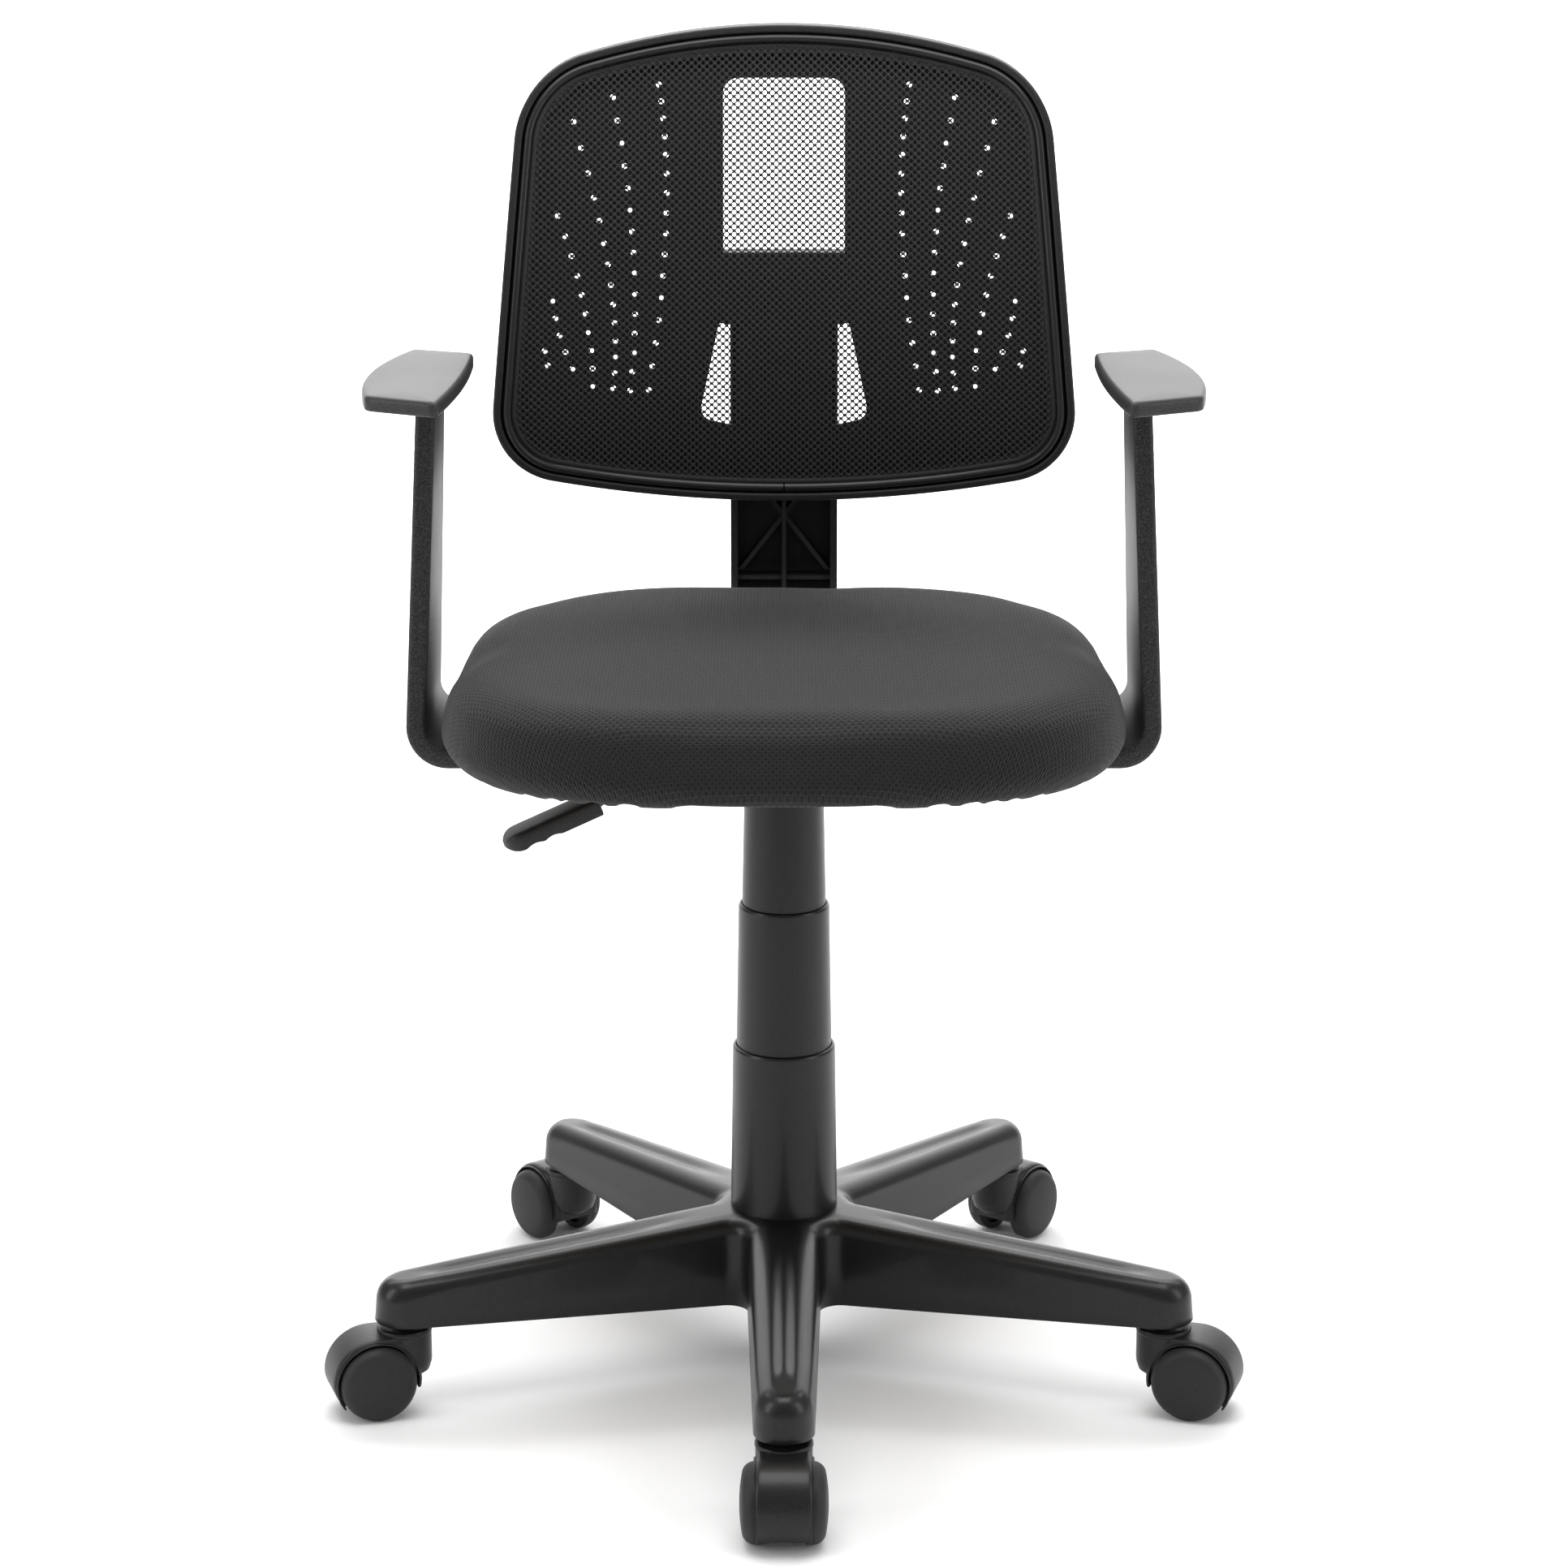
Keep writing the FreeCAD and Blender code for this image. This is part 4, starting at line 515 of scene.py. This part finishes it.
def weave_map(mesh, start_z):
    """UV of the knit in metres: plan position, pushed outward by how far the point lies below the crown."""
    spots = np.empty(len(mesh.vertices) * 3)
    mesh.vertices.foreach_get("co", spots)
    spots = spots.reshape(-1, 3)
    plan = spots[:, :2] - seat_middle[:2] * 0.001
    half = seat_half[:2] * 0.001
    scaled = np.abs(plan / half) ** 2 * np.sign(plan) / half
    outward = scaled / np.maximum(np.linalg.norm(scaled, axis=1, keepdims=True), 1e-6)
    drop = np.clip(start_z - spots[:, 2], 0, None)[:, None]
    flat_place = plan + outward * drop
    loops = np.empty(len(mesh.loops), np.int64)
    mesh.loops.foreach_get("vertex_index", loops)
    layer = mesh.uv_layers.new(name="weave")
    layer.data.foreach_set("uv", flat_place[loops].astype(np.float32).ravel())


def swell(piece, cap, hold_below):
    """Fill the cushion as cloth under pressure: remesh evenly, run the cloth, average each point's move with
    its neighbours', keep it within the cap, fade it to nothing at the lip, then subdivide once."""
    soft = piece.copy()
    soft.data = piece.data.copy()
    bpy.context.scene.collection.objects.link(soft)
    remesh = soft.modifiers.new("even", "REMESH")
    remesh.mode, remesh.voxel_size = "VOXEL", 0.005
    even = bpy.data.meshes.new_from_object(soft.evaluated_get(bpy.context.evaluated_depsgraph_get()))
    soft.modifiers.clear()
    soft.data = even
    start = np.empty(len(even.vertices) * 3)
    even.vertices.foreach_get("co", start)
    start = start.reshape(-1, 3)
    ends = np.empty(len(even.edges) * 2, np.int64)
    even.edges.foreach_get("vertices", ends)
    ends = ends.reshape(-1, 2)
    cloth = soft.modifiers.new("cloth", "CLOTH")
    cloth.settings.use_pressure = True
    cloth.settings.uniform_pressure_force = 4.0
    cloth.settings.tension_stiffness = cloth.settings.compression_stiffness = 25
    cloth.settings.effector_weights.gravity = 0
    frames, averagings = 20, 40
    for step in range(1, frames + 1):
        bpy.context.scene.frame_set(step)
    shape = soft.evaluated_get(bpy.context.evaluated_depsgraph_get())
    moved = np.empty(start.size)
    shape.data.vertices.foreach_get("co", moved)
    move = moved.reshape(-1, 3) - start
    count = np.bincount(ends.ravel(), minlength=len(start))[:, None]
    for _ in range(averagings):
        total = np.zeros_like(move)
        np.add.at(total, ends[:, 0], move[ends[:, 1]])
        np.add.at(total, ends[:, 1], move[ends[:, 0]])
        move = (move + total / count) / 2
    length = np.linalg.norm(move, axis=1, keepdims=True)
    move *= np.minimum(1, cap / np.maximum(length, 1e-9))
    move *= ease(start[:, 2], hold_below, hold_below + 0.02)[:, None]
    soft.modifiers.clear()
    even.vertices.foreach_set("co", (start + move).astype(np.float32).ravel())
    bpy.context.scene.frame_set(1)
    smooth = soft.modifiers.new("smooth", "SUBSURF")
    smooth.levels = smooth.render_levels = 1
    piece.data = bpy.data.meshes.new_from_object(soft.evaluated_get(bpy.context.evaluated_depsgraph_get()))
    bpy.data.objects.remove(soft)


def knit(name, uv, thread, shade, across, along, open_from, open_to, depth):
    """Spacer knit: the product of two cosines peaks at staggered eyelets, which are sunk in the bump and
    painted near black as painted shade in the holes; yarn noise breaks up the threads between them."""
    cloth = bpy.data.materials.new(name)
    cloth.use_nodes = True
    shader = cloth.node_tree.nodes["Principled BSDF"]
    place = wired(cloth, "ShaderNodeUVMap", uv_map=uv).outputs["UV"]
    split = wired(cloth, "ShaderNodeSeparateXYZ", {"Vector": place})

    def maths(operation, *values):
        node = wired(cloth, "ShaderNodeMath", dict(enumerate(values)), operation=operation)
        return node.outputs["Value"]

    waves = []
    for axis, pitch in (("X", across), ("Y", along)):
        waves.append(maths("COSINE", maths("MULTIPLY", split.outputs[axis], 2 * math.pi / pitch)))
    eyelet = wired(cloth, "ShaderNodeMapRange",
                   {"Value": maths("MULTIPLY", *waves), "From Min": open_from, "From Max": open_to},
                   interpolation_type="SMOOTHSTEP").outputs["Result"]
    coords = wired(cloth, "ShaderNodeTexCoord").outputs["Object"]
    yarn = wired(cloth, "ShaderNodeTexNoise",
                 {"Vector": coords, "Scale": 1800.0, "Detail": 3.0}).outputs["Fac"]
    patch = wired(cloth, "ShaderNodeTexNoise", {"Vector": coords, "Scale": 9.0, "Detail": 2.0})
    light = wired(cloth, "ShaderNodeMapRange", {"Value": yarn, "From Min": 0.3, "From Max": 0.7,
                                                "To Min": thread * 0.6, "To Max": thread * 1.35})
    tint = wired(cloth, "ShaderNodeMapRange",
                 {"Value": patch.outputs["Fac"], "To Min": 0.85, "To Max": 1.15})
    toned = maths("MULTIPLY", light.outputs["Result"], tint.outputs["Result"])
    # Painted shade: the eyelets take the dark `shade` colour, standing in for the shade inside the knit's
    # holes.
    tone = wired(cloth, "ShaderNodeMix", {"Factor": eyelet}, data_type="RGBA")
    cloth.node_tree.links.new(toned, tone.inputs[6])
    tone.inputs[7].default_value = grey(shade)
    ridge = maths("MULTIPLY", maths("MULTIPLY", waves[0], waves[0]), -0.35)
    relief = maths("ADD", maths("MULTIPLY", eyelet, -1.0), ridge)
    height = maths("ADD", relief, maths("MULTIPLY", yarn, 0.25))
    bump = wired(cloth, "ShaderNodeBump", {"Height": height, "Distance": depth, "Strength": 0.9})
    cloth.node_tree.links.new(tone.outputs[2], shader.inputs["Base Color"])
    cloth.node_tree.links.new(bump.outputs["Normal"], shader.inputs["Normal"])
    shader.inputs["Roughness"].default_value = 0.85
    shader.inputs["Specular IOR Level"].default_value = 0.25
    shader.inputs["Sheen Weight"].default_value = 0.12
    shader.inputs["Sheen Roughness"].default_value = 0.5
    return cloth


# The eyelets' colour, 0.001, is painted shade in the knit's holes.
seat_knit = knit("seat_knit", "weave", 0.01, 0.001, 0.0045, 0.0052, 0.05, 0.6, 0.0006)
cushion = make_piece("cushion", [skin(cushion_points())], seat_knit, "seat", 75)
swell(cushion, 0.006, seat_low[2] * 0.001 + 0.018)
cushion.data.shade_smooth()
weave_map(cushion.data, seat_high[2] * 0.001 - 0.006)
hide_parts("seat_cushion")


# ---- Height lever
# A bent steel rod in the seat plate carries a chunky finger paddle of grained plastic: flat on top, round at
# the tip, with two shallow finger waves below.


def paddle_points():
    """Sections along the grip: a rounded box whose width shrinks to the round tip and whose underside
    has two finger waves near the tip."""
    root = np.array([-124.0, -43.5, 414.5])
    tip = np.array([-185.0, -62.0, 391.0])
    length = np.linalg.norm(tip - root)
    along = (tip - root) / length
    level = np.cross([0, 0, 1.0], along)
    level /= np.linalg.norm(level)
    up = np.cross(along, level)
    half, thick = 12.5, 6.2
    round_tip = length - half + half * np.sin(np.radians(np.linspace(5, 88, 14)))
    step = np.concatenate([[0, 0.6], np.linspace(2, length - half, 34), round_tip])
    past = np.clip(step - (length - half), 0, half)
    wide = np.sqrt(np.maximum(half ** 2 - past ** 2, 0.3))
    wide[0] -= 0.8
    wave, waves_from = 13.0, length - 38.0
    waved = (step > waves_from) & (step < waves_from + 2 * wave)
    hollow = 1.6 * np.abs(np.sin(math.pi * (step - waves_from) / wave)) * waved
    low = -thick - 0.8 + hollow
    shrink = 1 - 0.75 * (past / half) ** 3
    middle, tall = (thick + low) / 2, (thick - low) / 2 * shrink
    tall[0] -= 0.6
    angle = np.linspace(0, 2 * math.pi, 40, endpoint=False)
    c, s = np.cos(angle), np.sin(angle)
    square = 0.38
    side = np.sign(c) * np.abs(c) ** square
    rise = np.sign(s) * np.abs(s) ** square
    a = wide[:, None] * side
    b = middle[:, None] + tall[:, None] * rise
    return root + step[:, None, None] * along + a[..., None] * level + b[..., None] * up


lever_plastic = moulded("lever_plastic", 0.008, 0.022, 0.45, 0.0008, 0.00007)
paddle = make_piece("lever_paddle", [skin(paddle_points())], lever_plastic, "lever", 50)
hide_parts("lever_grip")


# ---- Arms
# One-piece moulded arms of coarse-grained polypropylene, bolted below the board: a foot, a bend and an
# upright that narrows towards the pad, with a raised strip and two nubs on the outer face.


def rounded_box(half_a, half_b, radius, steps=5):
    """Loop of a rectangle with round corners: each corner's centre plus the radius swung a quarter turn."""
    start = np.radians([0, 90, 180, 270])[:, None] + np.radians(np.linspace(0, 90, steps))
    sign_a, sign_b = np.array([1, -1, -1, 1])[:, None], np.array([1, 1, -1, -1])[:, None]
    c, s = np.cos(start), np.sin(start)
    return np.column_stack([(sign_a * (half_a - radius) + radius * c).ravel(),
                            (sign_b * (half_b - radius) + radius * s).ravel()])


arm_thick, arm_top_depth, arm_low_depth = 13.0, 80.0, 138.0
arm_sole, pad_seat, arm_lean = 445.5, 690.0, 0.043


def arm_path(upright, turn, foot):
    """The left arm's middle line in front view and its outward direction: upright, bend, foot."""
    bend_x, bend_z, bend, sole_z, inner_end = -218.7, 476.0, 20.5, 455.5, -118.0
    top, low = np.array([-230.0, pad_seat]), np.array([bend_x - bend, bend_z])
    share = np.linspace(0, 1, upright)[:, None]
    swing = np.radians(np.linspace(180, 270, turn))[1:, None]
    spoke = np.hstack([np.cos(swing), np.sin(swing)])
    sole = np.linspace(bend_x, inner_end, foot)[1:, None]
    line = np.vstack([top + (low - top) * share, np.array([bend_x, bend_z]) + bend * spoke,
                      np.hstack([sole, np.full_like(sole, sole_z)])])
    out = np.vstack([np.broadcast_to([-1.0, -arm_lean], (upright, 2)), spoke,
                     np.broadcast_to([0.0, -1.0], (foot - 1, 2))])
    return line, out


def arm_points():
    """Rounded-box section carried along the arm's line, deeper from front to rear towards the foot."""
    line, out = arm_path(26, 13, 8)
    down = np.clip((pad_seat - line[:, 1]) / (pad_seat - arm_sole), 0, 1)
    depth = arm_top_depth + (arm_low_depth - arm_top_depth) * down
    rows = []
    for (x, z), (nx, nz), deep in zip(line, out, depth):
        loop = rounded_box(arm_thick / 2, deep / 2, 3.2)
        rows.append(np.column_stack([x + nx * loop[:, 0], arm_y + loop[:, 1], z + nz * loop[:, 0]]))
    return np.array(rows)


def arm_strip():
    """Raised strip on the outer face, from below the nubs round the bend to the foot's end."""
    line, out = arm_path(26, 13, 8)
    keep = line[:, 1] < 636.0
    line, out = line[keep], out[keep]
    loop = rounded_box(3.0, 11.0, 1.6)
    lift = np.full(len(line), arm_thick / 2 - 0.4)
    lift[0] = arm_thick / 2 - 2.6
    centre = line + out * lift[:, None]
    rows = np.stack([centre[:, 0, None] + out[:, 0, None] * loop[:, 0],
                     np.broadcast_to(arm_y + loop[:, 1], (len(line), len(loop))),
                     centre[:, 1, None] + out[:, 1, None] * loop[:, 0]], axis=-1)
    return rows


def arm_nub(z):
    """Small rounded block on the outer face: shrinking rounded boxes stacked outward."""
    face_x = -236.5 - (pad_seat - z) * arm_lean
    levels = [(0.0, 3.0), (0.0, -1.4), (0.5, -2.2), (1.4, -2.6)]
    rows = []
    for inset, outward in levels:
        loop = rounded_box(11.0 - inset, 4.0 - inset, 1.8 - inset * 0.7)
        x = np.full(len(loop), face_x + outward)
        rows.append(np.column_stack([x, arm_y + loop[:, 0], z + loop[:, 1]]))
    return np.array(rows)


arm_plastic = moulded("arm_plastic", 0.006, 0.04, 0.48, 0.0011, 0.00016)
arm_skins = [skin(arm_points()), skin(arm_strip()), skin(arm_nub(645.0)), skin(arm_nub(655.5))]
for side, flip in (("left", 1.0), ("right", -1.0)):
    skins = [(points * np.array([flip, 1, 1]), quads, ends) for points, quads, ends in arm_skins]
    arm = make_piece("arm_moulding_" + side, skins, arm_plastic, "seat", 42)
    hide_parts("arm_" + side)


# ---- Arm pads
# Thin moulded pads screwed down on the arms: a straight slanted front, a bowed outer edge and a fine
# speckled grain on top.

pad_x = -236.5


def pad_outline(count=120):
    """Plan of the left pad: straight front and rear, parabolas bowed outward along the sides, and corners
    rounded by a running mean."""
    x, y = pad_x, arm_y
    front_out, front_in = np.array([x - 27, y - 96]), np.array([x + 20, y - 120])
    rear_in, rear_out = np.array([x + 30, y + 68]), np.array([x - 12, y + 84])
    t = np.linspace(0, 1, 200, endpoint=False)[:, None]
    inner = front_in + (rear_in - front_in) * t + np.array([4.0, 0]) * 4 * t * (1 - t)
    outer = rear_out + (front_out - rear_out) * t + np.array([-13.0, 0]) * 4 * t * (1 - t)
    front, rear = front_out + (front_in - front_out) * t, rear_in + (rear_out - rear_in) * t
    path = np.vstack([front, inner, rear, outer])
    gap = np.linalg.norm(np.roll(path, -1, axis=0) - path, axis=1)
    run = np.concatenate([[0], np.cumsum(gap)])
    fine = np.linspace(0, run[-1], 900, endpoint=False)
    loop = np.column_stack([np.interp(fine, run, np.append(path[:, k], path[0, k])) for k in (0, 1)])
    reach = 9
    wrapped = np.vstack([loop[-reach:], loop, loop[:reach]])
    kernel = np.ones(2 * reach + 1) / (2 * reach + 1)
    smooth = np.column_stack([np.convolve(wrapped[:, k], kernel, "valid") for k in (0, 1)])
    return smooth[np.linspace(0, 900, count, endpoint=False).astype(int)]


def pad_points():
    """The pad's loop stacked from below: flat underside, upright rim, round shoulder, then rows that draw in
    to the pad's middle line under a slight crown."""
    loop = pad_outline()
    ahead = np.roll(loop, -1, axis=0) - np.roll(loop, 1, axis=0)
    out = np.column_stack([ahead[:, 1], -ahead[:, 0]]) / np.linalg.norm(ahead, axis=1, keepdims=True)
    middle_x = pad_x + 0.5
    spine = np.column_stack([np.full(len(loop), middle_x), np.clip(loop[:, 1], arm_y - 84, arm_y + 56)])
    rows = [(spine + (loop - spine) * q, pad_seat) for q in (0.02, 0.5)]
    rows += [(loop - out * inset, pad_seat + rise) for inset, rise in ((1.6, 0), (0.4, 0.5), (0, 1.6))]
    pad_thick, round_top, crown = 10.0, 3.4, 0.7
    for a in np.radians(np.linspace(0, 80, 7)):
        rows.append((loop - out * round_top * (1 - math.cos(a)),
                     pad_seat + pad_thick - round_top + round_top * math.sin(a)))
    inner = loop - out * round_top
    for q in (0.9, 0.7, 0.45, 0.2, 0.02):
        rows.append((spine + (inner - spine) * q, pad_seat + pad_thick + crown * (1 - q * q)))
    return np.array([np.column_stack([plan, np.full(len(loop), z)]) for plan, z in rows])


pad_plastic = moulded("pad_plastic", 0.014, 0.045, 0.42, 0.0007, 0.00008, mottle=0.03)
for side, flip in (("left", 1.0), ("right", -1.0)):
    points, quads, ends = skin(pad_points())
    pad = make_piece("pad_" + side, [(points * np.array([flip, 1, 1]), quads, ends)], pad_plastic, "seat",
                     60)
    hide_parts("arm_pad_" + side)


# ---- Back bar and pivot
# A ribbed nylon channel bolted under the board rises behind the seat to the pivot, where a steel bracket,
# a pin and two rubber bushes carry the back.

bar_nylon = moulded("bar_nylon", 0.01, 0.022, 0.5, 0.001, 0.00005)
finish_nodes(bar_nylon, "back_bar")


# ---- Back shell, bead and mesh
# The shell is one moulding with a rim round the edge. A rubber bead pressed in its groove holds the carrier
# frame on which a knitted mesh is stretched, clear of the panel behind it.

back_top, back_bottom, top_bow, low_bow = 896.0, 563.0, 540.0, 720.0
low_half, top_half, widest_z, top_round, low_round = 204.0, 181.0, 640.0, 64.0, 52.0
shell_plastic = moulded("shell_plastic", 0.005, 0.018, 0.48, 0.001, 0.0001)
bead_rubber = moulded("bead_rubber", 0.007, 0.012, 0.38, 0.0008, 0.00003, coat=0.1)
carrier_plastic = moulded("carrier_plastic", 0.008, 0.015, 0.5, 0.001, 0.00005)
finish_nodes(shell_plastic, "back_shell")
finish_nodes(carrier_plastic, "mesh_carrier")


def back_y(x, z):
    """Depth of the back's face: a parabola in height, less one in width, so its sides wrap forward."""
    return 222.0 + 0.00058 * (z - widest_z) ** 2 - 32.0 * (x / 197.0) ** 2


def back_outline(inset, step=4.0):
    """The back's edge in front view, moved inward, from the bottom's middle to the right and all round:
    wide arcs below and above, leaning sides, round corners."""
    lean = (low_half - top_half) / (back_top - widest_z)
    tilt = math.atan(lean)

    def corner(radius, centre_z, bow, sign):
        a = low_half + lean * widest_z - radius / math.cos(tilt)
        q, p, r = 1 + lean ** 2, -2 * (a * lean + centre_z), a * a + centre_z ** 2 - (bow - radius) ** 2
        z = (-p + sign * math.sqrt(p * p - 4 * q * r)) / (2 * q)
        return np.array([a - lean * z, z])

    top_arc, low_arc = np.array([0, back_top - top_bow]), np.array([0, back_bottom + low_bow])
    top_corner = corner(top_round, top_arc[1], top_bow, 1)
    low_corner = corner(low_round, low_arc[1], low_bow, -1)
    high = math.atan2(*(top_corner - top_arc)[::-1])
    low = math.atan2(*(low_corner - low_arc)[::-1])

    def arc(centre, radius, a, b):
        count = max(3, int(abs(b - a) * radius / step))
        t = np.linspace(a, b, count)[:, None]
        return centre + radius * np.hstack([np.cos(t), np.sin(t)])

    parts = [arc(low_arc, low_bow - inset, -math.pi / 2, low), arc(low_corner, low_round - inset, low, tilt),
             arc(top_corner, top_round - inset, tilt, high),
             arc(top_arc, top_bow - inset, high, math.pi / 2)]
    side_count = int(np.linalg.norm(parts[2][0] - parts[1][-1]) / step)
    side = parts[1][-1] + (parts[2][0] - parts[1][-1]) * np.linspace(0, 1, side_count)[1:-1, None]
    half = np.vstack([parts[0], parts[1][1:], side, parts[2], parts[3][1:]])
    return np.vstack([half, half[-2:0:-1] * np.array([-1, 1])])


def along_edge(inset, section, step=4.0, gap=0.0):
    """A section of (inward, depth) points carried round the edge, at the face's depth, with a gap where its
    two ends meet at the bottom's middle."""
    base = back_outline(inset, step)
    ahead = np.roll(base, -1, axis=0) - np.roll(base, 1, axis=0)
    out = np.column_stack([ahead[:, 1], -ahead[:, 0]]) / np.linalg.norm(ahead, axis=1, keepdims=True)
    if gap:
        base = np.vstack([base, base[:1]])
        out = np.vstack([out, out[:1]])
        base[0, 0], base[-1, 0] = gap / 2, -gap / 2
    section = np.array(section, float)
    x = base[:, 0, None] - out[:, 0, None] * section[:, 0]
    z = base[:, 1, None] - out[:, 1, None] * section[:, 0]
    y = back_y(base[:, 0], base[:, 1])[:, None] + section[:, 1]
    return np.stack([x, y, z], axis=-1)


bead_half, bead_rise, bead_rear = 3.4, 4.2, 8.5
round_front = np.radians(np.linspace(180, 360, 13))
bead_section = np.column_stack([bead_half * np.cos(round_front), 1.0 + bead_rise * np.sin(round_front)])
bead_section = np.vstack([bead_section, [(bead_half, bead_rear), (-bead_half, bead_rear)]])
bead = make_piece("bead", [skin(along_edge(9.5, bead_section, gap=0.9))], bead_rubber, "back",
                  55)
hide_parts("edge_bead")


def inside_back(x, z, inset):
    """Whether points lie inside the edge moved inward: inside its polygon by the crossing rule."""
    edge = back_outline(inset, 6.0)
    x1, z1 = edge[:, 0], edge[:, 1]
    x2, z2 = np.roll(x1, -1), np.roll(z1, -1)
    spans = (z1 > z[:, None]) != (z2 > z[:, None])
    cross = x[:, None] < (x2 - x1) * (z[:, None] - z1) / np.where(z2 == z1, 1e-9, z2 - z1) + x1
    return (spans & cross).sum(axis=1) % 2 == 1


def net_panel(name, x_low, x_high, material):
    """Knitted net between two values of x: one lozenge of thread round each eyelet of a staggered lattice.
    Each lozenge is a ring of eight corners and side middles, then the eyelet's eight points, front and back;
    sides that no neighbour shares are walled."""
    pitch_x, pitch_z, hole, thick = 5.4, 5.1, 1.5, 0.9
    i, j = np.meshgrid(np.arange(-80, 81), np.arange(-70, 71), indexing="ij")
    keep = (i + j) % 2 == 0
    x, z = i[keep] * pitch_x / 2, 730.0 + j[keep] * pitch_z / 2
    keep = inside_back(x, z, 14.4) & (x >= x_low) & (x < x_high)
    x, z = x[keep], z[keep]
    angle = np.arange(8) * math.pi / 4
    corner = np.array([[1, 0], [0.5, 0.5], [0, 1], [-0.5, 0.5],
                       [-1, 0], [-0.5, -0.5], [0, -1], [0.5, -0.5]])
    outer = corner * np.array([pitch_x / 2, pitch_z / 2])
    inner = np.column_stack([hole * np.cos(angle), hole * 1.06 * np.sin(angle)])
    depths = (-thick / 2, -thick / 6, thick / 6, thick / 2)
    rings = [(outer, depths[0]), (inner, depths[1]), (inner, depths[2]), (outer, depths[3])]
    px = np.stack([x[:, None] + ring[:, 0] for ring, depth in rings], axis=1)
    pz = np.stack([z[:, None] + ring[:, 1] for ring, depth in rings], axis=1)
    lift = np.array([depth for ring, depth in rings])[None, :, None]
    points = np.stack([px, back_y(px, pz) + 0.5 + lift, pz], axis=-1)
    cells = len(x)
    index = np.arange(cells * 32).reshape(cells, 4, 8)
    turned = np.roll(index, -1, axis=2)
    quads = np.stack([index[:, :-1], turned[:, :-1], turned[:, 1:], index[:, 1:]], axis=-1).reshape(-1, 4)
    side_middle = ((points + np.roll(points, -1, axis=2)) / 2)[:, 0][..., [0, 2]]
    place = np.rint(side_middle * 50).astype(np.int64)
    key = place[..., 0].ravel() * 1000003 + place[..., 1].ravel()
    found, key_number, count = np.unique(key, return_inverse=True, return_counts=True)
    lone = (count[key_number] == 1).reshape(cells, 8)
    walls = np.stack([index[:, 0][lone], index[:, 3][lone], turned[:, 3][lone], turned[:, 0][lone]], axis=-1)
    panel = make_piece(name, [(points.reshape(-1, 3), np.vstack([quads, walls]), [])], material, "back",
                       60)
    width, height = np.ptp(x) + pitch_x, np.ptp(z) + pitch_z
    area = cells * pitch_x * pitch_z / 2
    return panel, (width * 0.001, height * 0.001), area * 1e-6


net_thread = moulded("net_thread", 0.012, 0.034, 0.65, 0.0005, 0.00012)
hem_section = [(0, 0.1), (0.4, -0.15), (2.4, -0.15), (2.9, 0.15), (2.9, 0.95), (0, 0.95)]
hem = make_piece("net_hem", [skin(along_edge(12.95, hem_section, 5.0), closed=True)], net_thread, "back",
                 40)
outer_x, split_x = 250, 66
for name, x_low, x_high in (("net_left", -outer_x, -split_x), ("net_middle", -split_x, split_x),
                            ("net_right", split_x, outer_x)):
    net_panel(name, x_low, x_high, net_thread)
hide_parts("back_mesh")
